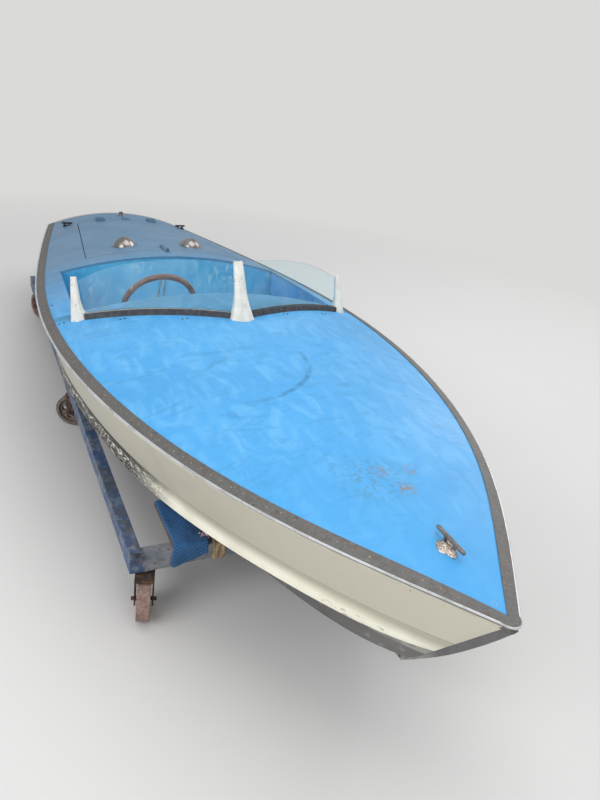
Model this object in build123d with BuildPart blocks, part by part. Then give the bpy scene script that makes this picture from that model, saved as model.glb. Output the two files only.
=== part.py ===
from build123d import *
from math import acos, cos, radians, sin, sqrt, tan
import os

# Wooden runabout speedboat standing on its workshop trolley.
#
# Units are millimetres. X points to the bow, Y to port and Z up. The origin is on the floor,
# under the middle of the whole object. Lengthwise places are written as distances aft of the
# foremost point of the blue deck, which lies at x = BOW_X.

os.makedirs("parts", exist_ok=True)

FAR = 2000.0            # beyond every side of the hull

# Clearances
SEAT = 0.3              # where a curved piece seats on another
MOVE = 5.0              # round a moving piece
FIT = 0.1               # round a pin or an axle

# Hull
HULL_AFT = 4950.0       # deck tip to the face that carries the transom
TIP_Z = 810.0           # deck edge at the bow
SHEER_FALL = 0.0328     # first fall of the deck edge, per mm
SHEER_CURVE = 4.64e-6   # added fall, per mm squared
KEEL_Z = 312.0          # underside of the hull bottom at the keel
DECK_THICK = 15.0
BOTTOM_OVER_CHINE = 8.0
SEAM_OVER_CHINE = 14.0
TRANSOM_THICK = 24.0
BILGE_ROUND = 0.35      # share of the shorter bottom run that the bilge's rounding takes
# distance aft, rake, deck half-breadth, deck crown, chine half-breadth, chine height,
# keel half-breadth, bilge's inset from the chine, side thickness, bilge's drop under the chine
STATIONS = [
    (-30, 0.70, 18, 0.8, 16, 490, 10, 0.8, 12, 120),
    (200, 0.55, 185, 20, 143, 465, 14, 6, 30, 142),
    (550, 0.38, 413, 58, 320, 452, 20, 46, 27, 116),
    (1050, 0.20, 647, 98, 530, 435, 25, 92, 25, 68),
    (1650, 0.08, 810, 124, 685, 412, 25, 112, 24, 38),
    (2300, 0.0, 880, 138, 766, 390, 25, 125, 24, 23),
    (2950, 0.0, 861, 142, 749, 372, 25, 130, 24, 16),
    (HULL_AFT - 1350, 0.0, 780, 140, 671, 357, 25, 130, 24, 13),
    (HULL_AFT - 675, 0.0, 670, 130, 563, 345, 25, 130, 24, 10.5),
    (HULL_AFT, 0.0, 546, 112, 441, 335, 25, 130, 24, 8.8),
]
# The stem's face: its place at the height of the deck edge, its slope and its curve
STEM_TOP = 811.0
STEM_FOOT = 306.0
STEM_LEAD = -50.3
STEM_SLOPE = 0.571
STEM_CURVE = 3.7e-4

# Trim round the deck edge
BAND_WIDTH = 45.0
BAND_THICK = 3.0
BAND_DROP = 21.0
RAIL_SUNK = 6.0         # what the rail's blank is sunk before its back is cut to the topside
BEAD_OUT = 4.8
BEAD_HIGH = 9.6
GROOVE_DEEP = 1.8
NOSE_RISE = 20.0        # how far the rounded nose stands ahead of the first station
STRAKE_HIGH = 95.0
STRAKE_OUT = 24.0
STRAKE_LIP = 12.0
STEM_THICK = 12.0       # metal on the stem's foot
STEM_HALF = 14.0
KEEL_STRIP_THICK = 6.0
KEEL_STRIP_HALF = 15.0
KEEL_STRIP_AFT = 3740.0

# Cockpit
DASH_AT = 2470.0
COCKPIT_AFT = 3280.0
COCKPIT_HALF_FRONT = 735.0
COCKPIT_HALF_AFT = 690.0
FOOTWELL_AT = 1950.0
PANEL_THICK = 15.0
DASH_DEEP = 130.0
COAMING_DEEP = 105.0
FLOOR_THICK = 12.0
FLOOR_HALF = 520.0

# Windscreen
POST_AT = 2030.0
POST_HIGH = 254.0
POST_RAKE = 138.0
POST_BASE = 125.0
POST_TOP = 45.0
SIDE_POST_AT = 2370.0
SIDE_POST_Y = 752.0     # where the pane's plane meets it
SIDE_POST_EDGE = 766.0  # its outboard edge at the deck
SIDE_POST_LEAN = 12.0
SIDE_POST_HIGH = 186.0
SIDE_POST_RAKE = 86.0
SIDE_POST_BASE = 94.0
SIDE_POST_TOP = 28.0
POST_DEEP = 26.0
# share of a post's height, and of its base's breadth there
POST_FLARE = ((-0.12, 1.10), (0.10, 0.82), (0.25, 0.63), (0.45, 0.49))
PANE_THICK = 4.0
PANE_HIGH = 285.0
PANE_START = 22.0       # from the middle of the boat, along the pane
PANE_BACK = 10.0
# share of the pane's length, and of PANE_HIGH, along its upper edge
PANE_CROWN = ((0.0, 1.0), (0.24, 1.035), (0.50, 1.035), (0.74, 0.955), (1.0, 0.70))
GASKET_THICK = 22.0
GASKET_HIGH = 25.0

# Steering
WHEEL_AT = 2640.0
WHEEL_Y = -254.0
WHEEL_Z = 715.0
WHEEL_R = 212.0
WHEEL_RIM = 16.0
WHEEL_TILT = 20.0
COLUMN_R = 12.0
COLUMN_LONG = 160.0

# Engine hatch and what it carries
HATCH_FRONT = 3450.0
HATCH_TO_STERN = 330.0
HATCH_AFT = HULL_AFT - HATCH_TO_STERN
HATCH_HALF_FRONT = 510.0
HATCH_HALF_AFT = 370.0
HINGE_RISE = 7.5
HINGE_R = 5.0
HASP_AT = 3412.0
HASP_WIDE = 26.0
HASP_LEAF = 110.0
HASP_THICK = 3.0
STAPLE_WIDE = 14.0
HINGE_Y = (-200.0, 0.0, 200.0)
PIN_R = 2.5
LEAF_LONG = 34.0
LEAF_WIDE = 60.0
VENT_AT = 3645.0
VENT_Y = 228.0
VENT_FLANGE_R = 80.0
VENT_DOME_R = 68.0
VENT_HIGH = 56.0
VENT_FLANGE_THICK = 5.0

# Deck fittings
BOW_CLEAT_AT = 280.0
CLEAT_TO_STERN = 310.0
STERN_CLEAT_AT = HULL_AFT - CLEAT_TO_STERN
STERN_CLEAT_Y = 448.0
SOCKET_TO_STERN = 140.0
SOCKET_AT = HULL_AFT - SOCKET_TO_STERN
SOCKET_R = 13.0
SOCKET_HIGH = 30.0
SOCKET_DEEP = 24.0

# Drive line
ENGINE_AT = 3950.0
ENGINE_LONG = 640.0
ENGINE_WIDE = 420.0
ENGINE_HIGH = 250.0
PROP_TO_STERN = 360.0
PROP_AT = HULL_AFT - PROP_TO_STERN
PROP_Z = 158.0
PROP_R = 130.0
SHAFT_R = 12.5
SHAFT_ANGLE = 12.0
SHAFT_LONG = 560.0
RUDDER_TO_STERN = 110.0
RUDDER_AT = HULL_AFT - RUDDER_TO_STERN
RUDDER_CHORD = 150.0
RUDDER_THICK = 10.0
RUDDER_LOW = 110.0
STOCK_R = 11.0

# Trolley
RAIL_HALF = 753.0
ANGLE_WIDE = 50.0
ANGLE_HIGH = 75.0
ANGLE_THICK = 6.0
TROLLEY_TOP = 292.0
RAIL_TO_STERN = 550.0
RAIL_AFT = HULL_AFT - RAIL_TO_STERN
CROSS_AT = (1095.0, 2650.0, 3720.0)
CHOCK_HALF = (312.0, 480.0, 440.0)
CHOCK_WIDE = 110.0
BOARD_HALF = 515.0      # middle of the packing boards under the chines
BOARD_WIDE = 140.0
BOARD_LONG = 300.0
BOARD_THICK = 18.0
CLOTH_THICK = 8.0
CLOTH_DROP = 72.0
ROLL_WIDE = 50.0
ROLL_THICK = 16.0
ROLL_DROP = 58.0
CASTER_INSET = 68.0
CASTER_Y = RAIL_HALF - CASTER_INSET
CASTER_R = 88.0
CASTER_TREAD = 52.0
CASTER_TRAIL = 42.0
CASTER_LEG = 7.0
CASTER_PLATE = 110.0
AXLE_R = 8.0
CASTER_SWIVEL_R = 26.0
WHEEL_HUB_R = 22.0
WHEEL_WEB = 18.0
WHEEL_RING = 17.0       # depth of the rim from the tread to the web
WHEEL_HOLE_R = 14.0
REAR_CASTER_AT = RAIL_AFT - 110
# name, distance aft, side, turn of the fork about its swivel in degrees
CASTERS = [
    ("fs", 1121, -1, -17), ("fp", 1121, 1, 150),
    ("ms", 2640, -1, 235), ("mp", 2640, 1, 170),
    ("rs", REAR_CASTER_AT, -1, 200), ("rp", REAR_CASTER_AT, 1, 215),
]


def sheer(aft):
    """Height of the deck edge at a distance aft."""
    return TIP_Z - SHEER_FALL * aft - SHEER_CURVE * aft * abs(aft)


# Place of the deck's tip, which puts the origin under the middle of the whole length
NOSE_X = NOSE_RISE - STATIONS[0][0] + STATIONS[0][1] * (SEAT + BAND_THICK)
BOW_X = (HULL_AFT + TRANSOM_THICK - NOSE_X) / 2


def at(aft, column):
    """A column of STATIONS, read between its rows."""
    for low, high in zip(STATIONS, STATIONS[1:]):
        if aft <= high[0]:
            share = (aft - low[0]) / (high[0] - low[0])
            return low[column] + share * (high[column] - low[column])
    return STATIONS[-1][column]


def deck_z(aft, y):
    """Height of the deck's surface."""
    return sheer(aft) + at(aft, 3) * (1 - (y / at(aft, 2)) ** 2)


def station_plane(row):
    """The raked plane of one station, with local x to port and local y up the rake."""
    return Plane(origin=(BOW_X - row[0], 0, sheer(row[0])), x_dir=(0, 1, 0), z_dir=(1, 0, -row[1]))


def local(row, y, z):
    """A point of a station's plane, from its world y and z."""
    return (y, (z - sheer(row[0])) * sqrt(1 + row[1] ** 2))


def loft_stations(outline, rows=STATIONS):
    """A loft through the closed outline that each station gives, run on past the stern and cut there."""
    past = tuple(2 * last - before for before, last in zip(rows[-2], rows[-1]))
    with BuildPart() as body:
        for row in rows + [past]:
            with BuildSketch(station_plane(row)):
                with BuildLine():
                    outline(row)
                make_face()
        loft()
        split(bisect_by=Plane(origin=(BOW_X - HULL_AFT, 0, 0), z_dir=(1, 0, 0)), keep=Keep.TOP)
    return body.part


def bottom_outline(row, side):
    """Half of the bottom, keel to chine, with a rounded turn of the bilge."""
    keel, chine = Vector(row[6], KEEL_Z), Vector(row[4], row[5])
    turn = chine - Vector(row[7], row[9])
    inward, upward = (keel - turn).normalized(), (chine - turn).normalized()
    reach = BILGE_ROUND * min((keel - turn).length, (chine - turn).length)
    bend = acos(-inward.dot(upward))
    middle = turn + (inward + upward).normalized() * reach * tan(bend / 4)
    spots = [keel, turn + inward * reach, middle, turn + upward * reach, chine]
    keel, start, middle, end, chine = [local(row, side * spot.X, spot.Y) for spot in spots]
    Line(keel, start)
    ThreePointArc(start, middle, end)
    Line(end, chine)


def hull_outline(row):
    """Keel flat, rounded bilges, chines, flat topsides and the crowned deck."""
    deck, crown, chine, low, keel = row[2:7]
    edge = sheer(row[0])
    Line(local(row, -keel, KEEL_Z), local(row, keel, KEEL_Z))
    Line(local(row, chine, low), local(row, deck, edge))
    ThreePointArc(local(row, deck, edge), local(row, 0, edge + crown), local(row, -deck, edge))
    Line(local(row, -deck, edge), local(row, -chine, low))
    for side in (1, -1):
        bottom_outline(row, side)


def room_outline(row):
    """The room inside the planks: floor, sides and the deck's underside."""
    edge, low = sheer(row[0]) - DECK_THICK, row[5] + BOTTOM_OVER_CHINE
    high_half, low_half = row[2] - row[8], row[4] - row[8]
    rise = row[3] * (1 - (high_half / row[2]) ** 2)
    ThreePointArc(local(row, -high_half, edge + rise), local(row, 0, edge + row[3]),
                  local(row, high_half, edge + rise))
    Polyline(local(row, high_half, edge + rise), local(row, low_half, low), local(row, -low_half, low),
             local(row, -high_half, edge + rise))


def moved(piece, y=0.0, z=0.0):
    """A copy shifted across or up."""
    return piece.moved(Location((0, y, z)))


def profile_slab(column_or_sheer, drop_low, drop_high):
    """A slab across the hull between two lines that follow the chine or the deck edge."""
    points = []
    for row in STATIONS:
        height = sheer(row[0]) if column_or_sheer == "sheer" else row[5]
        points.append((BOW_X - row[0] - row[1] * (sheer(row[0]) - height), height))
    first, last = points[0], points[-1]
    points = [(first[0] + 200, first[1] + 8)] + points + [(last[0] - 300, last[1] - 8)]
    with BuildPart() as slab_part:
        with BuildSketch(Plane.XZ):
            with BuildLine():
                Spline(*[(x, z + drop_high) for x, z in points])
                Spline(*[(x, z + drop_low) for x, z in points])
                Line((points[0][0], points[0][1] + drop_low), (points[0][0], points[0][1] + drop_high))
                Line((points[-1][0], points[-1][1] + drop_low), (points[-1][0], points[-1][1] + drop_high))
            make_face()
        extrude(amount=1200, both=True)
    return slab_part.part


def plan_prism(points, low=0.0, high=1500.0):
    """An upright prism over a plan outline given as (aft, y) points."""
    with BuildPart() as prism:
        with BuildSketch(Plane.XY.offset(low)):
            with BuildLine():
                Polyline(*[(BOW_X - aft, y) for aft, y in points], close=True)
            make_face()
        extrude(amount=high - low)
    return prism.part


def slab(front, aft, low=0.0):
    """Everything between two distances aft, above a height."""
    return plan_prism([(front, -FAR), (aft, -FAR), (aft, FAR), (front, FAR)], low)


def common(*pieces):
    """What all the given solids share."""
    with BuildPart() as result:
        add(pieces[0])
        for piece in pieces[1:]:
            add(piece, mode=Mode.INTERSECT)
    return result.part


def cut(piece, *tools):
    """A solid less the given tools."""
    with BuildPart() as result:
        add(piece)
        for tool in tools:
            add(tool, mode=Mode.SUBTRACT)
    return result.part


def pair(piece):
    """A port piece with its mirror image to starboard."""
    with BuildPart() as result:
        add(piece)
        mirror(piece, about=Plane.XZ)
    return result.part


def save(piece, name):
    """Label a finished piece and write its STEP file."""
    piece.label = name
    export_step(piece, f"parts/{name}.step")


def stem_at(height):
    """Distance aft of the stem's face."""
    deep = STEM_TOP - height
    return STEM_LEAD + STEM_SLOPE * deep + STEM_CURVE * deep ** 2


def stem_arc(high, low, shift=0.0):
    """Part of the stem's face, moved aft, as an arc in the plane of x and z."""
    return ThreePointArc(*[(BOW_X - stem_at(z) - shift, z) for z in (high, (high + low) / 2, low)])


def front_at(height):
    """Distance aft of the first station's raked plane."""
    return STATIONS[0][0] + STATIONS[0][1] * (sheer(STATIONS[0][0]) - height)


# Depth at which the stem's curve draws ahead of the first station's plane, so that the hull is cut to it
bend = STEM_SLOPE - STATIONS[0][1]
gap = STEM_LEAD + STEM_THICK - front_at(STEM_TOP)
STEM_TURN = STEM_TOP - (sqrt(bend ** 2 - 4 * STEM_CURVE * gap) - bend) / (2 * STEM_CURVE)
STEM_END = (BOW_X - stem_at(STEM_FOOT) - STEM_THICK, STEM_FOOT)
with BuildPart() as forefoot:
    with BuildSketch(Plane.XZ):
        with BuildLine():
            stem_arc(STEM_TURN, STEM_FOOT, STEM_THICK)
            Polyline((BOW_X - front_at(STEM_TURN), STEM_TURN), (BOW_X, STEM_TURN), (BOW_X, STEM_FOOT),
                     STEM_END)
        make_face()
    extrude(amount=FAR, both=True)

# The hull's outer form and the room inside its planks, which every hull piece is cut from
hull = cut(loft_stations(hull_outline), forefoot.part)
room = loft_stations(room_outline, STATIONS[1:])
shell = cut(hull, room)
beyond = HULL_AFT + FAR
port_side = plan_prism([(-FAR, SEAT / 2), (beyond, SEAT / 2), (beyond, FAR), (-FAR, FAR)])

save(common(shell, profile_slab("chine", -400, SEAM_OVER_CHINE)), "hull_bottom")
planks = cut(shell, profile_slab("chine", -400, SEAM_OVER_CHINE + SEAT),
             profile_slab("sheer", -DECK_THICK - SEAT, 400))
topside_port = common(planks, port_side)
save(topside_port, "topside_port")
save(topside_port.mirror(Plane.XZ), "topside_starboard")
deck = common(shell, profile_slab("sheer", -DECK_THICK, 400))


# Spray strakes with a coved face, along both chines
def strake_outline(row):
    """A rail proud of the chine, whose face sweeps up into the topside."""
    chine, low = row[4], row[5]
    high = low + STRAKE_HIGH
    side = chine + (row[2] - chine) * STRAKE_HIGH / (sheer(row[0]) - low)
    lip = STRAKE_OUT if row[0] > 0 else 4.0
    mid = chine + lip * 0.45 + (side - chine) * 0.4
    Polyline(local(row, side + 1, high), local(row, side - 8, high), local(row, chine - 8, low),
             local(row, chine + lip, low), local(row, chine + lip, low + STRAKE_LIP))
    ThreePointArc(local(row, chine + lip, low + STRAKE_LIP),
                  local(row, mid, low + STRAKE_LIP + (STRAKE_HIGH - STRAKE_LIP) * 0.4),
                  local(row, side + 1, high))


save(pair(cut(loft_stations(strake_outline), moved(hull, SEAT), moved(hull, SEAT, -SEAT))), "strakes")

# Deck, cut into its panels
cockpit_points = [(DASH_AT, -COCKPIT_HALF_FRONT), (COCKPIT_AFT, -COCKPIT_HALF_AFT),
                  (COCKPIT_AFT, COCKPIT_HALF_AFT), (DASH_AT, COCKPIT_HALF_FRONT)]
hatch_points = [(HATCH_FRONT, -HATCH_HALF_FRONT), (HATCH_AFT, -HATCH_HALF_AFT),
                (HATCH_AFT, HATCH_HALF_AFT), (HATCH_FRONT, HATCH_HALF_FRONT)]
hatch_hole_points = [
    (HATCH_FRONT - MOVE, -HATCH_HALF_FRONT - MOVE), (HATCH_AFT + MOVE, -HATCH_HALF_AFT - MOVE),
    (HATCH_AFT + MOVE, HATCH_HALF_AFT + MOVE), (HATCH_FRONT - MOVE, HATCH_HALF_FRONT + MOVE),
]

save(common(deck, slab(-200, DASH_AT)), "foredeck")
save(cut(common(deck, slab(DASH_AT, COCKPIT_AFT)), plan_prism(cockpit_points)), "side_decks")
save(cut(common(deck, slab(COCKPIT_AFT, HULL_AFT)), plan_prism(hatch_hole_points)), "aft_deck")
save(common(deck, plan_prism(hatch_points)), "engine_hatch")

# Transom over the ends of the skins
with BuildPart() as transom:
    with BuildSketch(station_plane(STATIONS[-1])):
        with BuildLine():
            hull_outline(STATIONS[-1])
        make_face()
    extrude(amount=-TRANSOM_THICK)
save(transom.part, "transom")

# Stem band and keel strip
with BuildPart() as stem_band:
    head = sheer(STATIONS[0][0]) - BAND_DROP - SEAT
    inner, inner_foot = STEM_THICK - SEAT, BOW_X - stem_at(STEM_FOOT)
    with BuildSketch(Plane.XZ.offset(-STEM_HALF)):
        with BuildLine():
            stem_arc(head, STEM_TURN)
            stem_arc(STEM_TURN, STEM_FOOT)
            Line((inner_foot, STEM_FOOT), (inner_foot - inner, STEM_FOOT))
            stem_arc(STEM_TURN, STEM_FOOT, inner)
            Polyline((BOW_X - front_at(STEM_TURN) + SEAT, STEM_TURN), (BOW_X - front_at(head) + SEAT, head),
                     (BOW_X - stem_at(head), head))
        make_face()
    extrude(amount=2 * STEM_HALF)
save(stem_band.part, "stem_band")

with BuildPart() as keel_strip:
    front = STEM_END[0]
    with Locations((front, 0, KEEL_Z - SEAT)):
        Box(front - (BOW_X - KEEL_STRIP_AFT), 2 * KEEL_STRIP_HALF, KEEL_STRIP_THICK,
            align=(Align.MAX, Align.CENTER, Align.MAX))
save(keel_strip.part, "keel_strip")

# Metal strip on the deck edge: a layer of the deck's own form, outside an inner line
inner_line = []
for row in STATIONS:
    lean = 0.85 if row[0] < 0 else 1.15 if row[0] < 300 else 1.1 if row[0] < 800 else 1.0
    inner_line.append((BOW_X - row[0], row[2] - BAND_WIDTH * lean))
with BuildPart() as band_room:
    with BuildSketch():
        with BuildLine():
            Spline(*inner_line)
            Polyline(inner_line[-1], (inner_line[-1][0], FAR), (inner_line[0][0], FAR), inner_line[0])
        make_face()
    extrude(amount=1500)
strip = cut(common(moved(hull, 0, SEAT + BAND_THICK), band_room.part, port_side), moved(hull, 0, SEAT))
save(pair(strip), "deck_band")


# Rub rail under the strip: a half-round bead, a groove and a flat wooden fillet
TRIM_TOP = SEAT + BAND_THICK


def rail_outline(row):
    """The rail's section, which leans with the topside."""
    half, edge = row[2], sheer(row[0])
    slope = (row[2] - row[4]) / (edge - row[5])
    outer, bead_low = half + TRIM_TOP, TRIM_TOP - BEAD_HIGH
    points = [(half - RAIL_SUNK, TRIM_TOP - SEAT)]
    for out, drop in ((0, 0), (0.8, 0.2), (1, 0.5), (0.8, 0.8), (0, 1)):
        points.append((outer + BEAD_OUT * out, TRIM_TOP - SEAT - (BEAD_HIGH - SEAT) * drop))
    for inset, height in ((GROOVE_DEEP, bead_low - 0.5), (GROOVE_DEEP, bead_low - 6), (0, bead_low - 6),
                          (0, -BAND_DROP), (RAIL_SUNK + TRIM_TOP, -BAND_DROP)):
        points.append((outer - inset + slope * height, height))
    Polyline(*[local(row, y, edge + z) for y, z in points], close=True)


rail = cut(loft_stations(rail_outline), moved(hull, SEAT), strip, moved(strip, SEAT))
save(pair(rail), "rub_rail")

with BuildPart() as bow_cap:
    row = STATIONS[0]
    base_x, edge = BOW_X - row[0], sheer(row[0])
    bead_low = TRIM_TOP - BEAD_HIGH
    for high, low, shrink in ((TRIM_TOP, bead_low, 0), (bead_low, -BAND_DROP, BEAD_OUT)):
        half, foot_x = row[2] + TRIM_TOP + BEAD_OUT - shrink, base_x + row[1] * high
        with BuildSketch(Plane.XY.offset(edge + high)):
            with BuildLine():
                ThreePointArc((foot_x, -half), (foot_x + NOSE_RISE - shrink, 0), (foot_x, half))
                Line((foot_x, half), (foot_x, -half))
            make_face()
        extrude(amount=(high - low) * sqrt(1 + row[1] ** 2), dir=(-row[1], 0, -1))
save(bow_cap.part, "bow_cap")


# Cockpit joinery
def wall_at(aft, low=0.0):
    """A plank wall across the hull whose forward face is at a distance aft."""
    with BuildPart() as wall:
        add(room)
        add(slab(aft, aft + PANEL_THICK, low), mode=Mode.INTERSECT)
        add(moved(room, SEAT, SEAT), mode=Mode.INTERSECT)
        add(moved(room, -SEAT, -SEAT), mode=Mode.INTERSECT)
    return wall.part


save(wall_at(FOOTWELL_AT), "front_bulkhead")
save(wall_at(COCKPIT_AFT), "seat_back")

COLUMN_DIR = Vector(cos(radians(WHEEL_TILT)), 0, -sin(radians(WHEEL_TILT)))
WHEEL_CENTER = Vector(BOW_X - WHEEL_AT, WHEEL_Y, WHEEL_Z)
COLUMN_PLANE = Plane(origin=WHEEL_CENTER, x_dir=(0, 1, 0), z_dir=COLUMN_DIR)
TUBE_START = (WHEEL_AT - DASH_AT) / cos(radians(WHEEL_TILT)) - 30
with BuildPart() as column_tube:
    with BuildSketch(COLUMN_PLANE.offset(TUBE_START)):
        Circle(COLUMN_R + 7)
        Circle(COLUMN_R + SEAT, mode=Mode.SUBTRACT)
    extrude(amount=COLUMN_LONG)
with BuildPart() as column_way:
    with BuildSketch(COLUMN_PLANE):
        Circle(COLUMN_R + 7 + SEAT)
    extrude(amount=500)
save(column_tube.part, "steering_column")
save(cut(wall_at(DASH_AT - PANEL_THICK, sheer(DASH_AT) - DASH_DEEP), column_way.part), "dash_panel")

COAMING_LEAN = (COCKPIT_HALF_FRONT - COCKPIT_HALF_AFT) / (COCKPIT_AFT - DASH_AT)
coaming_points = []
for aft, shift in ((DASH_AT + 20, 0), (COCKPIT_AFT - 20, 0), (COCKPIT_AFT - 20, PANEL_THICK),
                   (DASH_AT + 20, PANEL_THICK)):
    coaming_points.append((aft, COCKPIT_HALF_FRONT - COAMING_LEAN * (aft - DASH_AT) + 1 + shift))
save(pair(common(plan_prism(coaming_points, sheer(COCKPIT_AFT) - COAMING_DEEP, 900), moved(room, 0, -SEAT))),
     "coamings")

with BuildPart() as floor_boards:
    top = at(FOOTWELL_AT, 5) + BOTTOM_OVER_CHINE + 3
    board = 2 * FLOOR_HALF / 5
    with Locations((BOW_X - (FOOTWELL_AT + PANEL_THICK + COCKPIT_AFT) / 2, 0, top)):
        with GridLocations(0, board, 1, 5):
            Box(COCKPIT_AFT - FOOTWELL_AT - PANEL_THICK - 2, board - 6, FLOOR_THICK,
                align=(Align.CENTER, Align.CENTER, Align.MIN))
    for aft in (FOOTWELL_AT + 200, (FOOTWELL_AT + COCKPIT_AFT) / 2, COCKPIT_AFT - 150):
        low = at(aft - 20, 5) + BOTTOM_OVER_CHINE + 0.6
        with Locations((BOW_X - aft, 0, low)):
            Box(40, 2 * FLOOR_HALF, top + 1 - low, align=(Align.CENTER, Align.CENTER, Align.MIN))
save(floor_boards.part, "floor_boards")

# Windscreen: three posts, two panes behind them and the rubber strip under the panes
foot = Vector(BOW_X - POST_AT - PANE_BACK, 0, deck_z(POST_AT, 0))
side = Vector(BOW_X - SIDE_POST_AT, SIDE_POST_Y, deck_z(SIDE_POST_AT, SIDE_POST_Y))
along = (side - foot).normalized()
face = along.cross(Vector(-POST_RAKE / POST_HIGH, 0, 1)).normalized()
PANE_PLANE = Plane(origin=foot, x_dir=along, z_dir=face)
PANE_LONG = (side - foot).length
PANE_SLANT = -along.X / along.Y


def post(aft, edge, lean, high, rake, base, top, back):
    """A faceted post that flares to its foot and leans aft; edge is its straight outboard edge, if any."""
    foot_z = deck_z(aft, max(edge - base / 2, 0))
    with BuildPart() as body:
        for share, breadth in POST_FLARE + ((1.0, top / base),):
            x, half = BOW_X - aft - rake * share, base * breadth / 2
            front, mid = POST_DEEP * (1 - 0.6 * share), edge - lean * share - half if edge else 0.0
            with BuildSketch(Plane.XY.offset(foot_z + high * share)):
                with BuildLine():
                    Polyline((x, mid - half), (x + front, mid - half * 0.36), (x + front, mid + half * 0.36),
                             (x, mid + half), (x - back[0] - half * back[1], mid + half), (x - back[0], mid),
                             (x - back[0] - half * back[1], mid - half), close=True)
                make_face()
        loft(ruled=True)
    return cut(body.part, moved(hull, 0, SEAT))


center_post = post(POST_AT, 0, 0, POST_HIGH, POST_RAKE, POST_BASE, POST_TOP, (PANE_BACK - 3, PANE_SLANT))
save(center_post, "center_post")
port_post = post(SIDE_POST_AT, SIDE_POST_EDGE, SIDE_POST_LEAN, SIDE_POST_HIGH, SIDE_POST_RAKE,
                 SIDE_POST_BASE, SIDE_POST_TOP, (POST_DEEP / 2, 0))
save(pair(port_post), "side_posts")


def pane_blank(thick):
    """A plate in the plane of the port pane, whose upper edge is arched and whose ends meet the posts."""
    end = PANE_LONG - SIDE_POST_BASE / 4
    crown = [(PANE_START + (end - PANE_START) * share, PANE_HIGH * high) for share, high in PANE_CROWN]
    with BuildPart() as plate:
        with BuildSketch(PANE_PLANE.offset(-thick / 2)):
            with BuildLine():
                Spline(*crown)
                Polyline(crown[-1], (end - SIDE_POST_BASE / 2, -60), (PANE_START, -60), crown[0])
            make_face()
        extrude(amount=thick)
    return plate.part


save(pair(cut(pane_blank(PANE_THICK), moved(hull, 0, GASKET_HIGH + SEAT), port_post)), "windscreen_panes")
gasket = common(pane_blank(GASKET_THICK), moved(hull, 0, GASKET_HIGH))
save(pair(cut(gasket, moved(hull, 0, SEAT), center_post, port_post)), "windscreen_gaskets")

# Steering wheel: a rim, and a hub with three pairs of spokes on the turning column
RIM_TUBE = Plane(origin=WHEEL_CENTER, x_dir=(0, 1, 0), z_dir=-COLUMN_PLANE.y_dir)


def rim_ring(radius):
    """The rim's ring, with a given thickness."""
    with BuildPart() as ring:
        with BuildSketch(RIM_TUBE):
            with Locations((WHEEL_R - WHEEL_RIM, 0)):
                Circle(radius)
        revolve(axis=Axis(WHEEL_CENTER, COLUMN_DIR))
    return ring.part


save(rim_ring(WHEEL_RIM), "steering_rim")
with BuildPart() as steering_hub:
    with BuildSketch(COLUMN_PLANE.offset(-12)):
        Circle(34)
    extrude(amount=24)
    with BuildSketch(COLUMN_PLANE.offset(-3)):
        with PolarLocations(0, 3, start_angle=90):
            with Locations((WHEEL_R / 2, 14), (WHEEL_R / 2, -14)):
                Rectangle(WHEEL_R - WHEEL_RIM, 8)
    extrude(amount=6)
    add(rim_ring(WHEEL_RIM + SEAT), mode=Mode.SUBTRACT)
    with BuildSketch(COLUMN_PLANE):
        Circle(COLUMN_R)
    extrude(amount=TUBE_START + COLUMN_LONG - 10)
save(steering_hub.part.solids().sort_by(SortBy.VOLUME)[-1], "steering_hub")

# Hatch fittings
HINGE_X = BOW_X - HATCH_AFT - MOVE / 2
HINGE_Z = deck_z(HATCH_AFT, 0) + HINGE_RISE
with BuildPart() as vent:
    foot_z = deck_z(VENT_AT, VENT_Y)
    fall = 2 * at(VENT_AT, 3) * VENT_Y / at(VENT_AT, 2) ** 2
    tilt = Plane(origin=(BOW_X - VENT_AT, VENT_Y, foot_z), x_dir=(1, 0, 0), z_dir=(0, fall, 1))
    dome_high = VENT_HIGH - VENT_FLANGE_THICK
    dome_r = (VENT_DOME_R ** 2 + dome_high ** 2) / (2 * dome_high)
    with BuildSketch(tilt.offset(-12)):
        Circle(VENT_FLANGE_R)
    extrude(amount=12 + VENT_FLANGE_THICK)
    with Locations(tilt.offset(VENT_HIGH - dome_r)):
        Sphere(dome_r)
    split(bisect_by=tilt.offset(-12), keep=Keep.TOP)
save(pair(cut(vent.part, moved(hull, 0, SEAT))), "vent_domes")


def leaves(sign, knuckles):
    """Hinge leaves on one side of the pin, blocked down to the crowned deck."""
    with BuildPart() as body:
        for y in HINGE_Y:
            with Locations((HINGE_X + sign * (HINGE_R + 2 + LEAF_LONG / 2), y, HINGE_Z - 40)):
                Box(LEAF_LONG, LEAF_WIDE, 40 - HINGE_R + 3, align=(Align.CENTER, Align.CENTER, Align.MIN))
            for shift, wide in knuckles:
                with Locations((HINGE_X, y + shift, HINGE_Z)):
                    Cylinder(HINGE_R, wide, rotation=(90, 0, 0))
                with Locations((HINGE_X + sign * (HINGE_R + 2) / 2, y + shift, HINGE_Z - HINGE_R)):
                    Box(HINGE_R + 4, wide, 3, align=(Align.CENTER, Align.CENTER, Align.MIN))
    return body.part


with BuildPart() as hatch_leaves:
    add(leaves(1, [(0, 14)]))
    with Locations((HINGE_X, 0, HINGE_Z)):
        Cylinder(PIN_R + FIT, 900, rotation=(90, 0, 0), mode=Mode.SUBTRACT)
    add(moved(hull, 0, SEAT), mode=Mode.SUBTRACT)
save(hatch_leaves.part, "hatch_leaves")
with BuildPart() as deck_leaves:
    add(leaves(-1, [(-14, 12), (14, 12)]))
    for y in HINGE_Y:
        with Locations((HINGE_X, y, HINGE_Z)):
            Cylinder(PIN_R, 30, rotation=(90, 0, 0))
    add(moved(hull, 0, SEAT), mode=Mode.SUBTRACT)
save(deck_leaves.part, "deck_leaves")

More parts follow.
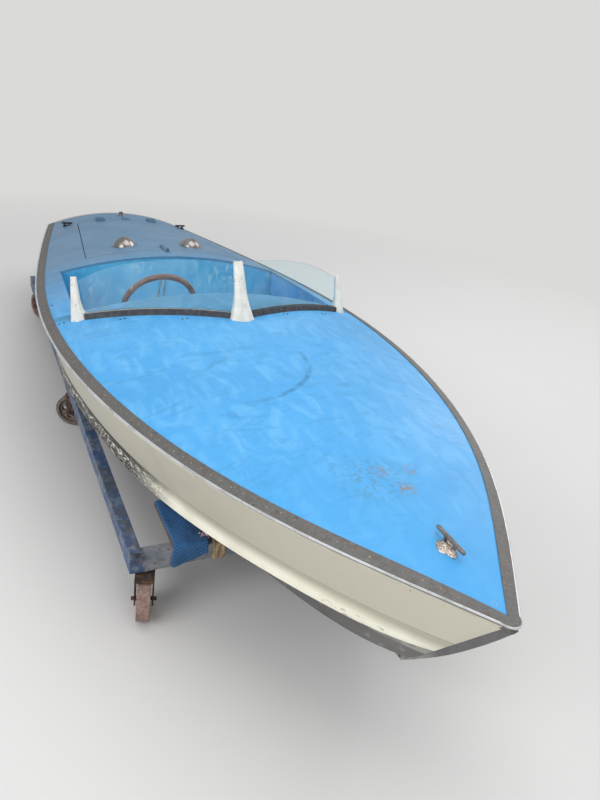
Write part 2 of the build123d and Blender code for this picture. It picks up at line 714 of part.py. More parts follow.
# Hasp at the hatch's front edge, over a staple on the deck
HASP_Z = deck_z(HASP_AT - HASP_WIDE / 2 - 4, 0) + SEAT
with BuildPart() as deck_staple:
    with BuildSketch(Plane(origin=(BOW_X - HASP_AT, 0, HASP_Z), x_dir=(0, -1, 0), z_dir=(-1, 0, 0))):
        Rectangle(STAPLE_WIDE, 38)
        with Locations((0, 11)):
            Rectangle(STAPLE_WIDE - 6, 8, mode=Mode.SUBTRACT)
    extrude(amount=2, both=True)
    add(moved(hull, 0, SEAT), mode=Mode.SUBTRACT)
save(deck_staple.part, "deck_staple")
with BuildPart() as hatch_hasp:
    with Locations((BOW_X - HASP_AT + HASP_WIDE / 2 + 4, 0, HASP_Z)):
        Box(HATCH_FRONT - HASP_AT + HASP_WIDE / 2 + 4 + HASP_LEAF, HASP_WIDE, HASP_THICK,
            align=(Align.MAX, Align.CENTER, Align.MIN))
    with Locations((BOW_X - HASP_AT, 0, HASP_Z)):
        Box(12, STAPLE_WIDE + 5, 20, mode=Mode.SUBTRACT)
    with Locations((BOW_X - HATCH_FRONT - 4, 0, HASP_Z)):
        Box(HASP_LEAF - 4, HASP_WIDE, 16, align=(Align.MAX, Align.CENTER, Align.MAX))
    add(moved(hull, 0, SEAT), mode=Mode.SUBTRACT)
save(hatch_hasp.part, "hatch_hasp")


# Cleats and the flagstaff socket
def cleat(aft, y, turn, long, high, base_long, base_wide):
    """A bar on two feet over a base plate that follows the deck."""
    with BuildPart() as body:
        with Locations(Location((BOW_X - aft, y, deck_z(aft, y)), (0, 0, turn))):
            Box(base_long, base_wide, 14)
            with GridLocations(base_long * 0.62, 0, 2, 1):
                Cylinder(6, high, align=(Align.CENTER, Align.CENTER, Align.MIN))
            with Locations((0, 0, high)):
                Cylinder(7, long, rotation=(0, 90, 0))
    return cut(body.part, moved(hull, 0, SEAT))


save(cleat(BOW_CLEAT_AT, 0, 0, 144, 26, 76, 54), "bow_cleat")
save(pair(cleat(STERN_CLEAT_AT, STERN_CLEAT_Y, 90, 78, 24, 56, 34)), "stern_cleats")
with BuildPart() as flag_socket:
    with Locations((BOW_X - SOCKET_AT, 0, deck_z(SOCKET_AT, 0))):
        Cylinder(SOCKET_R + 18, 12)
        Cylinder(SOCKET_R + 4, SOCKET_HIGH, align=(Align.CENTER, Align.CENTER, Align.MIN))
        with Locations((0, 0, SOCKET_HIGH - SOCKET_DEEP)):
            Cylinder(SOCKET_R, SOCKET_DEEP, align=(Align.CENTER, Align.CENTER, Align.MIN),
                     mode=Mode.SUBTRACT)
save(cut(flag_socket.part, moved(hull, 0, SEAT)), "flag_socket")

# Engine block
with BuildPart() as engine:
    with Locations((BOW_X - ENGINE_AT, 0, at(ENGINE_AT - ENGINE_LONG / 2, 5) + BOTTOM_OVER_CHINE + 0.6)):
        Box(ENGINE_LONG, ENGINE_WIDE, ENGINE_HIGH, align=(Align.CENTER, Align.CENTER, Align.MIN))
    fillet(engine.edges().filter_by(Axis.X), 30)
save(engine.part, "engine")

# Drive line under the hull
SHAFT_DIR = Vector(cos(radians(SHAFT_ANGLE)), 0, sin(radians(SHAFT_ANGLE)))
PROP_PLANE = Plane(origin=(BOW_X - PROP_AT, 0, PROP_Z), x_dir=(0, 1, 0), z_dir=SHAFT_DIR)
with BuildPart() as propeller:
    with BuildSketch(PROP_PLANE.offset(-35)):
        Circle(18)
    with BuildSketch(PROP_PLANE.offset(30)):
        Circle(26)
    loft()
    with Locations(PROP_PLANE):
        with PolarLocations(0, 3):
            with Locations(Location((PROP_R / 2 + 7, 0, 0), (28, 0, 0))):
                Cylinder(PROP_R / 2 - 7, 5)
save(propeller.part, "propeller")
with BuildPart() as prop_shaft:
    with BuildSketch(PROP_PLANE.offset(30 + SEAT)):
        Circle(SHAFT_R)
    extrude(amount=SHAFT_LONG)
save(prop_shaft.part, "prop_shaft")
LOG_START = SHAFT_LONG - 40


def barrel(start, long, bore):
    """A sleeve round the shaft."""
    with BuildPart() as sleeve:
        with BuildSketch(PROP_PLANE.offset(start)):
            Circle(SHAFT_R + 9)
            Circle(bore, mode=Mode.SUBTRACT)
        extrude(amount=long)
    return sleeve.part


save(cut(barrel(LOG_START, 320, SHAFT_R + SEAT), moved(hull, 0, -SEAT)).solids().sort_by(SortBy.VOLUME)[-1],
     "shaft_log")
with BuildPart() as shaft_bracket:
    hang = PROP_PLANE.origin + SHAFT_DIR * 80
    with BuildSketch(Plane.XY.offset(hang.Z + 10)):
        with BuildLine():
            for bulge in (6, -6):
                ThreePointArc((hang.X - 28, 0), (hang.X, bulge), (hang.X + 28, 0))
        make_face()
    extrude(amount=KEEL_Z - hang.Z - 10 - SEAT)
    with BuildSketch(Plane.XY.offset(KEEL_Z - SEAT)):
        with Locations((hang.X, 0)):
            Rectangle(90, 44)
    extrude(amount=-5)
    add(barrel(50, 60, SHAFT_R - 2))
    with BuildSketch(PROP_PLANE.offset(20)):
        Circle(SHAFT_R + SEAT)
    extrude(amount=140, mode=Mode.SUBTRACT)
save(shaft_bracket.part, "shaft_bracket")

with BuildPart() as rudder:
    with Locations((BOW_X - RUDDER_AT - 15, 0, RUDDER_LOW)):
        Box(RUDDER_CHORD, RUDDER_THICK, KEEL_Z - RUDDER_LOW - 24,
            align=(Align.CENTER, Align.CENTER, Align.MIN))
    with Locations((BOW_X - RUDDER_AT, 0, RUDDER_LOW)):
        Cylinder(STOCK_R, KEEL_Z - RUDDER_LOW - 2, align=(Align.CENTER, Align.CENTER, Align.MIN))
save(rudder.part, "rudder")
with BuildPart() as rudder_gland:
    with Locations((BOW_X - RUDDER_AT, 0, KEEL_Z - SEAT)):
        Cylinder(STOCK_R + 12, 14, align=(Align.CENTER, Align.CENTER, Align.MAX))
        Cylinder(STOCK_R + FIT, 40, mode=Mode.SUBTRACT)
save(rudder_gland.part, "rudder_gland")

# Trolley frame of unequal angle iron, with a plate over each caster
with BuildPart() as trolley_frame:
    front, back = BOW_X - CROSS_AT[0], BOW_X - RAIL_AFT
    for side in (-1, 1):
        outer, inner = side * RAIL_HALF, side * (RAIL_HALF - ANGLE_THICK)
        with BuildSketch(Plane(origin=(back, 0, TROLLEY_TOP), x_dir=(0, 1, 0), z_dir=(1, 0, 0))):
            with BuildLine():
                Polyline((outer, 0), (side * (RAIL_HALF - ANGLE_WIDE), 0),
                         (side * (RAIL_HALF - ANGLE_WIDE), -ANGLE_THICK), (inner, -ANGLE_THICK),
                         (inner, -ANGLE_HIGH), (outer, -ANGLE_HIGH), close=True)
            make_face()
        extrude(amount=front - back)
    for aft in CROSS_AT:
        start = (BOW_X - aft, -RAIL_HALF, TROLLEY_TOP)
        with BuildSketch(Plane(origin=start, x_dir=(-1, 0, 0), z_dir=(0, 1, 0))):
            with BuildLine():
                Polyline((0, 0), (ANGLE_WIDE, 0), (ANGLE_WIDE, -ANGLE_THICK), (ANGLE_THICK, -ANGLE_THICK),
                         (ANGLE_THICK, -ANGLE_HIGH), (0, -ANGLE_HIGH), close=True)
            make_face()
        extrude(amount=2 * RAIL_HALF)
    for _, aft, side, _ in CASTERS:
        plate_at = max(aft, CROSS_AT[0] + CASTER_PLATE / 2)
        with Locations((BOW_X - plate_at, side * RAIL_HALF, TROLLEY_TOP - ANGLE_HIGH)):
            Box(CASTER_PLATE, 2 * (RAIL_HALF - CASTER_Y) + CASTER_PLATE / 2, ANGLE_THICK,
                align=(Align.CENTER, Align.MAX if side > 0 else Align.MIN, Align.MAX))
save(trolley_frame.part, "trolley_frame")

# Chocks between the cross-members and the hull
with BuildPart() as chocks:
    for aft in CROSS_AT:
        with Locations((BOW_X - aft - ANGLE_WIDE / 2, 0, TROLLEY_TOP)):
            Box(ANGLE_WIDE, 120, KEEL_Z - KEEL_STRIP_THICK - 2 * SEAT - TROLLEY_TOP,
                align=(Align.CENTER, Align.CENTER, Align.MIN))
save(chocks.part, "keel_chocks")
with BuildPart() as bilge_chocks:
    for aft, half in zip(CROSS_AT, CHOCK_HALF):
        with Locations((BOW_X - aft - ANGLE_WIDE / 2, half, TROLLEY_TOP)):
            Box(ANGLE_WIDE, CHOCK_WIDE, 150, align=(Align.CENTER, Align.CENTER, Align.MIN))
save(pair(cut(bilge_chocks.part, moved(hull, 0, -SEAT))), "bilge_chocks")

# Packing boards on the front cross-member, and the cloth and the roll laid to starboard
BOARD_FRONT = BOW_X - CROSS_AT[0]
with BuildPart() as packing_boards:
    for side in (-1, 1):
        with Locations((BOARD_FRONT, side * BOARD_HALF, TROLLEY_TOP)):
            Box(BOARD_LONG, BOARD_WIDE, BOARD_THICK, align=(Align.MAX, Align.CENTER, Align.MIN))
save(packing_boards.part, "packing_boards")

with BuildPart() as padding_cloth:
    low, high = TROLLEY_TOP - CLOTH_DROP, TROLLEY_TOP + BOARD_THICK + SEAT
    with BuildSketch(Plane.XZ.offset(BOARD_HALF - BOARD_WIDE / 2)):
        with BuildLine():
            Polyline((BOARD_FRONT - BOARD_LONG, high), (BOARD_FRONT + SEAT, high), (BOARD_FRONT + SEAT, low),
                     (BOARD_FRONT + SEAT + CLOTH_THICK, low),
                     (BOARD_FRONT + SEAT + CLOTH_THICK, high + CLOTH_THICK),
                     (BOARD_FRONT - BOARD_LONG, high + CLOTH_THICK), close=True)
        make_face()
    extrude(amount=BOARD_WIDE)
save(padding_cloth.part, "padding_cloth")

with BuildPart() as padding_roll:
    inboard = CHOCK_HALF[0] + CHOCK_WIDE / 2 + 6
    low, high = TROLLEY_TOP - ROLL_DROP, TROLLEY_TOP + SEAT
    with BuildSketch(Plane.XZ.offset(inboard)):
        with BuildLine():
            Polyline((BOARD_FRONT - ANGLE_WIDE, high), (BOARD_FRONT + SEAT, high), (BOARD_FRONT + SEAT, low),
                     (BOARD_FRONT + SEAT + ROLL_THICK, low),
                     (BOARD_FRONT + SEAT + ROLL_THICK, high + ROLL_THICK),
                     (BOARD_FRONT - ANGLE_WIDE, high + ROLL_THICK), close=True)
        make_face()
    extrude(amount=ROLL_WIDE)
save(padding_roll.part, "padding_roll")


# Casters: a fork that swivels under each plate, and its cast wheel with a pierced web
def caster(aft, side, turn):
    """The fork and the wheel of one caster, turned about its swivel."""
    top = TROLLEY_TOP - ANGLE_HIGH - ANGLE_THICK - SEAT
    crown = 2 * CASTER_R + 8
    wide = CASTER_TREAD + 2 * MOVE + 2 * CASTER_LEG
    swivel = Location((BOW_X - aft, side * CASTER_Y, 0), (0, 0, turn))
    with BuildPart() as fork:
        with Locations(swivel):
            with Locations((0, 0, top)):
                Cylinder(CASTER_SWIVEL_R, top - crown - 12, align=(Align.CENTER, Align.CENTER, Align.MAX))
            with Locations((CASTER_TRAIL / 2 - 2, 0, crown)):
                Box(94, wide, 14, align=(Align.CENTER, Align.CENTER, Align.MIN))
            for y in (-1, 1):
                with Locations((CASTER_TRAIL, y * (wide - CASTER_LEG) / 2, CASTER_R - 20)):
                    Box(40, CASTER_LEG, crown + 22 - CASTER_R,
                        align=(Align.CENTER, Align.CENTER, Align.MIN))
            with Locations((CASTER_TRAIL, 0, CASTER_R)):
                Cylinder(AXLE_R, wide + 24, rotation=(90, 0, 0))
    with BuildPart() as wheel:
        with Locations(swivel):
            with Locations((CASTER_TRAIL, 0, CASTER_R)):
                Cylinder(CASTER_R, CASTER_TREAD, rotation=(90, 0, 0))
                for face in (-1, 1):
                    with Locations((0, face * (CASTER_TREAD + WHEEL_WEB) / 4, 0)):
                        Cylinder(CASTER_R - WHEEL_RING, (CASTER_TREAD - WHEEL_WEB) / 2, rotation=(90, 0, 0),
                                 mode=Mode.SUBTRACT)
                Cylinder(WHEEL_HUB_R, CASTER_TREAD, rotation=(90, 0, 0))
                with Locations(Location((0, 0, 0), (90, 0, 0))):
                    with PolarLocations((WHEEL_HUB_R + CASTER_R - WHEEL_RING) / 2, 5):
                        Cylinder(WHEEL_HOLE_R, CASTER_TREAD, mode=Mode.SUBTRACT)
                Cylinder(AXLE_R + FIT, CASTER_TREAD + 2, rotation=(90, 0, 0), mode=Mode.SUBTRACT)
    return fork.part, wheel.part


for name, aft, side, turn in CASTERS:
    fork, wheel = caster(aft, side, turn)
    save(fork, f"caster_fork_{name}")
    save(wheel, f"caster_wheel_{name}")
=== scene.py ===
from math import cos, pi, radians, sin, tan

import bmesh
import bpy
from mathutils import Matrix, Vector
from mathutils.bvhtree import BVHTree


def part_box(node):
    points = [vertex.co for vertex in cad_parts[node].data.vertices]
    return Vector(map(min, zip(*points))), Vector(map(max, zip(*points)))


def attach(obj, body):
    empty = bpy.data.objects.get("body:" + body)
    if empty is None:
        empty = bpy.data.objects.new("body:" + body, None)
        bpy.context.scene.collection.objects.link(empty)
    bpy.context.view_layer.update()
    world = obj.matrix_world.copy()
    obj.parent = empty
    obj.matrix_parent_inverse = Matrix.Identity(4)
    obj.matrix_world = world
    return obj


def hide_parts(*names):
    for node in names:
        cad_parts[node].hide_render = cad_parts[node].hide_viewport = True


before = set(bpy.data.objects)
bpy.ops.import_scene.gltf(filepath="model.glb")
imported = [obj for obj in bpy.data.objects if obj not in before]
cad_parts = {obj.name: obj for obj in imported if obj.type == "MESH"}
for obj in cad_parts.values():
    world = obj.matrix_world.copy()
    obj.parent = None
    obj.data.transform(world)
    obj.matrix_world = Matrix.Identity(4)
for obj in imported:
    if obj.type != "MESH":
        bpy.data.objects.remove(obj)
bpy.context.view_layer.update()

ROOT = "boat_and_trolley"

# The hull's lines, in metres
DECK_TIP = 2.460845                         # x of the foremost point of the painted deck
CHINE_START, CHINE_FALL = 0.470, 0.0345     # height of the chine under the tip, and its fall aft
TIP_Z = 0.810                               # height of the deck's edge at the tip
SHEER_FALL, SHEER_CURVE = 0.0328, 0.00464   # how the deck's edge falls aft
PANE_FOOT, PANE_SLANT = 0.4208, 0.4388      # windscreen's line on the deck: x amidships, sweep aft

# Colours, linear
SKY = (0.080, 0.400, 0.800)
SKY_PALE = (0.160, 0.500, 0.850)
SKY_GREY = (0.130, 0.240, 0.355)
CREAM = (0.480, 0.450, 0.360)
# cream with a painted highlight, for the strakes' lower part by the chine
CREAM_WITH_HIGHLIGHT = (0.940, 0.910, 0.760)
DIRT = (0.060, 0.050, 0.040)
RUST = (0.230, 0.085, 0.030)
METAL = (0.130, 0.130, 0.125)
BLACK = (0.014, 0.014, 0.014)


class Shade:
    """One procedural material on a Principled shader, in the object's own metres."""

    def __init__(self, name, roughness=0.5, metallic=0.0, **sockets):
        self.material = bpy.data.materials.new(name)
        self.material.use_nodes = True
        self.tree = self.material.node_tree
        self.shader = self.tree.nodes["Principled BSDF"]
        self.shader.inputs["Roughness"].default_value = roughness
        self.shader.inputs["Metallic"].default_value = metallic
        for key, value in sockets.items():
            self.shader.inputs[key.replace("_", " ")].default_value = value
        coordinates = self.tree.nodes.new("ShaderNodeTexCoord").outputs
        self.place, self.facing = coordinates["Object"], coordinates["Normal"]
        split = self.tree.nodes.new("ShaderNodeSeparateXYZ")
        self.link(self.place, split.inputs[0])
        self.x, self.y, self.z = split.outputs

    def facing_in(self):
        """1 on a side's face that looks towards the middle of the boat."""
        split = self.tree.nodes.new("ShaderNodeSeparateXYZ")
        self.link(self.facing, split.inputs[0])
        return self.spread(self.both(split.outputs[1], self.y), 0.0, -0.05)

    def facing_up(self):
        """1 on a face that looks up."""
        split = self.tree.nodes.new("ShaderNodeSeparateXYZ")
        self.link(self.facing, split.inputs[0])
        return self.spread(split.outputs[2], 0.1, 0.4)

    def link(self, value, socket):
        """Puts a number, a colour or another node's output on a socket."""
        if isinstance(value, bpy.types.NodeSocket):
            self.tree.links.new(value, socket)
        elif isinstance(value, tuple):
            whole = len(value) == len(socket.default_value)
            socket.default_value = value if whole else (*value, 1.0)
        else:
            socket.default_value = value

    def math(self, operation, a, b=0.0):
        """One sum on two numbers."""
        node = self.tree.nodes.new("ShaderNodeMath")
        node.operation = operation
        self.link(a, node.inputs[0])
        self.link(b, node.inputs[1])
        return node.outputs[0]

    def spread(self, value, low, high, to_low=0.0, to_high=1.0):
        """Carries low..high to to_low..to_high and stops there."""
        node = self.tree.nodes.new("ShaderNodeMapRange")
        for socket, number in zip(node.inputs, (value, low, high, to_low, to_high)):
            self.link(number, socket)
        return node.outputs[0]

    def stretched(self, stretch, turn=0.0):
        """The object's metres, turned about z and scaled along each axis."""
        node = self.tree.nodes.new("ShaderNodeMapping")
        self.link(self.place, node.inputs[0])
        node.inputs["Rotation"].default_value = (0, 0, turn)
        node.inputs["Scale"].default_value = stretch
        return node.outputs[0]

    def noise(self, scale, low=0.0, high=1.0, detail=4.0, stretch=None, turn=0.0,
              distortion=0.0):
        """Noise in the object's metres; low and high are where its mask starts and ends."""
        node = self.tree.nodes.new("ShaderNodeTexNoise")
        self.link(self.stretched(stretch, turn) if stretch else self.place, node.inputs["Vector"])
        node.inputs["Scale"].default_value = scale
        node.inputs["Detail"].default_value = detail
        node.inputs["Distortion"].default_value = distortion
        plain = node.outputs["Fac"]
        return plain if (low, high) == (0.0, 1.0) else self.spread(plain, low, high)

    def near(self, point, radius, soft):
        """1 inside a ball round a point, 0 outside it."""
        node = self.tree.nodes.new("ShaderNodeVectorMath")
        node.operation = "DISTANCE"
        self.link(self.place, node.inputs[0])
        node.inputs[1].default_value = point
        return self.spread(node.outputs["Value"], radius, radius + soft, 1.0, 0.0)

    def mix(self, share, a, b):
        """Colour a, with a share of colour b laid over it."""
        node = self.tree.nodes.new("ShaderNodeMix")
        node.data_type = "RGBA"
        self.link(share, node.inputs["Factor"])
        self.link(a, node.inputs["A"])
        self.link(b, node.inputs["B"])
        return node.outputs["Result"]

    def both(self, a, b):
        """One mask times another, or times a share."""
        return self.math("MULTIPLY", a, b)

    def bump(self, height, strength, distance=0.001):
        """Relief in the shading from a height."""
        node = self.tree.nodes.new("ShaderNodeBump")
        node.inputs["Strength"].default_value = strength
        node.inputs["Distance"].default_value = distance
        self.link(height, node.inputs["Height"])
        self.link(node.outputs[0], self.shader.inputs["Normal"])

    def done(self, colour, roughness=None):
        """Puts the colour on the shader, and hands over the material."""
        self.link(colour, self.shader.inputs["Base Color"])
        if roughness is not None:
            self.link(roughness, self.shader.inputs["Roughness"])
        return self.material


def shaded(colour, share):
    """A darker copy of a colour."""
    return tuple(share * v for v in colour)


def deck_paint(name, base, pale, grey_from=None, grey_to=None):
    """Brushed gloss paint with wiped arcs, smears, short dark scuffs and specks of dirt.
    It turns grey along x from grey_from to grey_to."""
    s = Shade(name, IOR=1.45)
    dark = shaded(base, 0.70)
    colour = s.mix(s.noise(1.7, 0.3, 0.75, 3), base, shaded(base, 0.88))
    wiped = s.noise(3.8, 0.44, 0.72, 8, stretch=(1.0, 2.4, 1.0), turn=0.7, distortion=2.0)
    colour = s.mix(s.both(wiped, 0.75), colour, pale)
    for scale, turn, share in ((5.0, -0.5, 0.65), (12.0, 0.2, 0.50)):
        smear = s.noise(scale, 0.55, 0.76, 7, stretch=(2.2, 0.8, 1.0), turn=turn, distortion=2.2)
        colour = s.mix(s.both(smear, share), colour, dark)
    for scale, turn in ((30, 0.9), (38, -0.35)):
        scuff = s.noise(scale, 0.63, 0.72, 4, stretch=(0.22, 2.6, 1.0), turn=turn, distortion=0.9)
        places = s.noise(2.7, 0.46, 0.66, stretch=(1.0, 1.3, 1.0))
        colour = s.mix(s.both(s.both(scuff, places), 0.6), colour, dark)
    if grey_from is not None:
        colour = s.mix(s.spread(s.x, grey_from, grey_to, 0.0, 0.9), colour,
                       s.mix(s.noise(7, 0.35, 0.7, 5, stretch=(1.6, 0.5, 1.0)),
                             SKY_GREY, shaded(SKY_GREY, 0.82)))
    specks = s.noise(150, 0.70, 0.76, 2)
    colour = s.mix(s.both(specks, s.noise(2.3, 0.45, 0.6)), colour, shaded(base, 0.45))
    s.bump(s.noise(9, detail=3), 0.2, 0.002)
    return s, colour, s.spread(s.noise(2.5), 0.3, 0.7, 0.34, 0.52)


def plain_paint(name, base, other, dirt=0.3, roughness=0.5, scale=5.0):
    """Painted wood or metal with mottling and grime."""
    s = Shade(name, roughness)
    colour = s.mix(s.noise(scale, 0.35, 0.7), base, other)
    grime = s.both(s.noise(scale * 2.7, 0.55, 0.75, 6), dirt)
    colour = s.mix(grime, colour, DIRT)
    s.bump(s.noise(scale * 6), 0.2, 0.001)
    return s, colour


def rusty(name, base, rust_share, roughness=0.7, metallic=0.3, scale=22.0):
    """Metal with rust that breaks through in patches."""
    s = Shade(name, roughness, metallic)
    colour = s.mix(s.noise(scale * 0.4, 0.3, 0.7), base, shaded(base, 0.6))
    patches = s.noise(scale, 0.62 - rust_share * 0.3, 0.72 - rust_share * 0.25, 8)
    colour = s.mix(patches, colour, s.mix(s.noise(scale * 4), RUST, DIRT))
    s.bump(s.noise(scale * 8, detail=6), 0.4, 0.0008)
    return s.done(colour)


# Foredeck: deeper blue towards the bow
s, colour, rough = deck_paint("foredeck_paint", SKY, SKY_PALE)
colour = s.mix(s.spread(s.x, 1.5, 2.3, 0.0, 0.7), colour, (0.048, 0.370, 0.780))
# the ring that a lost fitting left near the tip
FITTING, FITTING_OUTER, FITTING_INNER = (2.410, -0.006, 0.814), 0.0095, 0.0068
fitting = s.math("SUBTRACT", s.near(FITTING, FITTING_OUTER, 0.001),
                 s.near(FITTING, FITTING_INNER, 0.001))
colour = s.mix(s.both(fitting, 0.55), colour, (0.30, 0.42, 0.52))
# an arc of smeared dirt, which is part of a ring
ARC, ARC_OUTER, ARC_INNER = (0.86, -0.28, 0.87), 0.400, 0.378
ring = s.math("SUBTRACT", s.near(ARC, ARC_OUTER, 0.012), s.near(ARC, ARC_INNER, 0.012))
ring = s.both(ring, s.both(s.spread(s.x, 0.84, 0.92), s.spread(s.y, -0.30, -0.20)))
colour = s.mix(s.both(ring, s.noise(22, 0.35, 0.6, 5)), colour, shaded(SKY, 0.62))
# a green stain with spots of rust
STAIN = (1.84, -0.055, 0.855)
RUST_SPOTS = (((1.905, 0.018, 0.85), 0.012), ((1.81, 0.10, 0.86), 0.010),
              ((1.80, -0.02, 0.86), 0.006))         # place and radius
stain = s.both(s.near(STAIN, 0.06, 0.10), s.noise(62, 0.46, 0.62, 8, distortion=0.6))
colour = s.mix(s.both(stain, 0.55), colour, (0.075, 0.235, 0.330))
for spot, size in RUST_SPOTS:
    rust_spot = s.both(s.near(spot, size, 0.035), s.noise(48, 0.42, 0.60, 7))
    colour = s.mix(s.both(rust_spot, 0.85), colour, (0.26, 0.20, 0.17))
# darker, greyer blue in patches behind the windscreen's line on the deck
behind = s.math("ADD", s.x, s.both(s.math("ABSOLUTE", s.y), PANE_SLANT))
dull = s.both(s.spread(behind, PANE_FOOT + 0.012, PANE_FOOT - 0.03),
              s.noise(9, 0.15, 0.5, 6, distortion=1.0))
foredeck_paint = s.done(s.mix(s.both(dull, 0.8), colour, (0.050, 0.235, 0.400)), rough)

s, colour, rough = deck_paint("side_deck_paint", SKY, SKY_PALE, 0.1, -0.9)
side_deck_paint = s.done(colour, rough)
s, colour, rough = deck_paint("aft_deck_paint", SKY, SKY_PALE, -0.2, -1.0)
aft_deck_paint = s.done(colour, rough)

# Cockpit
s, colour = plain_paint("cockpit_paint", (0.065, 0.420, 0.740), (0.120, 0.510, 0.800),
                        0.20, 0.5, 6.0)
streaks = s.noise(13, 0.50, 0.72, 9, stretch=(1.0, 1.0, 0.5), distortion=1.6)
cockpit_paint = s.done(s.mix(s.both(streaks, 0.5), colour, (0.30, 0.62, 0.84)))
s, colour = plain_paint("coaming_paint", (0.060, 0.330, 0.720), (0.090, 0.400, 0.780),
                        0.15, 0.4)
coaming_paint = s.done(colour)
s, colour = plain_paint("floor_paint", (0.100, 0.300, 0.450), (0.130, 0.340, 0.460),
                        0.7, 0.7, 7.0)
floor_paint = s.done(colour)


def above_chine(s):
    """Height over the chine's line, in metres."""
    aft = s.math("SUBTRACT", DECK_TIP, s.x)
    return s.math("SUBTRACT", s.z, s.math("SUBTRACT", CHINE_START, s.both(aft, CHINE_FALL)))


# Topsides and transom: cream, dull aft and pale near the bow, and blue on the inner faces
s = Shade("topside_paint", 0.42)
colour = s.mix(s.noise(2.2, 0.35, 0.7), CREAM, (0.470, 0.450, 0.375))
runs = s.noise(5, 0.50, 0.8, 6, stretch=(1.6, 1.6, 0.4), distortion=1.0)
colour = s.mix(s.both(runs, 0.45), colour, (0.36, 0.345, 0.30))
colour = s.mix(s.spread(s.x, 0.9, -1.6, 0.0, 0.45), colour, (0.36, 0.345, 0.305))
colour = s.mix(s.spread(s.x, 1.3, 2.4, 0.0, 0.75), colour, (0.66, 0.63, 0.51))
chips = s.both(s.noise(70, 0.68, 0.70, 5), s.noise(4, 0.58, 0.64))
colour = s.mix(chips, colour, DIRT)
colour = s.mix(s.facing_in(), colour,
               s.mix(s.noise(6, 0.35, 0.7), (0.065, 0.400, 0.720), (0.090, 0.450, 0.760)))
s.bump(s.noise(12), 0.2, 0.001)
topside_paint = s.done(colour)

# Strakes: cream that flakes off black wood aft, all along to starboard, in patches to port
s = Shade("strake_paint", 0.40)
aft = s.math("SUBTRACT", DECK_TIP, s.x)
over = above_chine(s)
# Painted highlight: towards the chine the cream turns brighter, partly its own paint, partly light
# caught there
cream_with_highlight = s.mix(s.noise(9, 0.4, 0.7), CREAM_WITH_HIGHLIGHT, (0.82, 0.79, 0.65))
colour = s.mix(s.spread(over, 0.040, 0.085), cream_with_highlight, CREAM)
starboard = s.spread(s.y, 0.1, -0.1)
far = s.both(s.spread(aft, 1.15, 1.50),
             s.math("MAXIMUM", starboard, s.noise(2.6, 0.54, 0.60, 3)))
worn = s.noise(38, 0.46, 0.56, 7, stretch=(0.25, 1.0, 1.0), distortion=0.6)
colour = s.mix(s.both(s.both(worn, far), 0.8), colour, (0.26, 0.25, 0.22))
low_edge = s.both(far, s.spread(over, 0.042, 0.028))
colour = s.mix(s.both(low_edge, 0.75), colour, (0.110, 0.105, 0.095))
flaked = s.noise(85, 0.46, 0.49, 8, stretch=(0.40, 1.0, 1.0), distortion=0.5)
colour = s.mix(s.both(flaked, far), colour, BLACK)
jags = s.math("SUBTRACT", s.noise(46, detail=8, stretch=(0.4, 1.0, 1.0)), 0.5)
ragged = s.math("ADD", over, s.both(jags, 0.045))
black = s.both(s.spread(ragged, 0.064, 0.066), far)
colour = s.mix(s.both(black, s.noise(21, 0.34, 0.38, 5, stretch=(0.4, 1.0, 1.0))), colour,
               (0.012, 0.012, 0.012))
nicks = s.both(s.noise(55, 0.57, 0.59, 6, stretch=(0.35, 1.0, 1.5)), s.spread(aft, 0.62, 0.15))
nicked = s.both(s.noise(9, 0.44, 0.48), s.spread(over, 0.040, 0.030))
colour = s.mix(s.both(nicks, nicked), colour, (0.015, 0.015, 0.015))
s.bump(s.noise(30), 0.2, 0.001)
strake_paint = s.done(colour)

# Bottom: grey outside, blotched near the bow, and dull blue on the inner face
s, colour = plain_paint("bottom_paint", (0.120, 0.118, 0.118), (0.170, 0.165, 0.160),
                        0.4, 0.75, 3.0)
colour = s.mix(s.both(s.noise(26, 0.60, 0.66, 6), 0.6), colour, (0.30, 0.29, 0.28))
under = s.both(s.spread(above_chine(s), -0.030, -0.020), s.spread(s.x, 1.75, 2.0))
colour = s.mix(s.both(under, s.noise(18, 0.35, 0.55, 6)), colour, (0.34, 0.34, 0.31))
inside = s.mix(s.noise(8, 0.35, 0.65, 6), (0.085, 0.240, 0.360), (0.075, 0.130, 0.165))
bottom_paint = s.done(s.mix(s.facing_up(), colour, inside))

# Weathered metal strip and rail
s = Shade("band_metal", 0.55, 0.25)
colour = s.mix(s.noise(16, 0.35, 0.7, 6, stretch=(0.5, 1.0, 1.0)), METAL,
               (0.150, 0.145, 0.138))
colour = s.mix(s.both(s.noise(42, 0.48, 0.68, 8, distortion=0.8), 0.65), colour,
               (0.118, 0.088, 0.070))
colour = s.mix(s.both(s.noise(70, 0.55, 0.72, 7), 0.55), colour, (0.052, 0.050, 0.050))
colour = s.mix(s.both(s.noise(95, 0.60, 0.74, 6), 0.4), colour, (0.28, 0.27, 0.25))
s.bump(s.noise(120), 0.25, 0.0006)
band_metal = s.done(colour)

s = Shade("stem_metal", 0.5, 0.25)
colour = s.mix(s.noise(14, 0.35, 0.7, 6), (0.165, 0.160, 0.162), (0.120, 0.118, 0.120))
colour = s.mix(s.both(s.noise(60, 0.58, 0.70, 6), 0.5), colour, (0.060, 0.056, 0.054))
left = s.both(s.spread(s.z, 0.500, 0.400), s.noise(30, 0.36, 0.46, 8, distortion=0.7))
colour = s.mix(s.both(left, 0.85), colour, (0.360, 0.355, 0.330))
s.bump(s.noise(90), 0.2, 0.0006)
stem_metal = s.done(colour)


def under_edge(s):
    """Depth under the line of the deck edge, in metres."""
    aft = s.math("SUBTRACT", DECK_TIP, s.x)
    fall = s.both(aft, s.math("ADD", SHEER_FALL, s.both(aft, SHEER_CURVE)))
    return s.math("SUBTRACT", s.math("SUBTRACT", TIP_Z, fall), s.z)
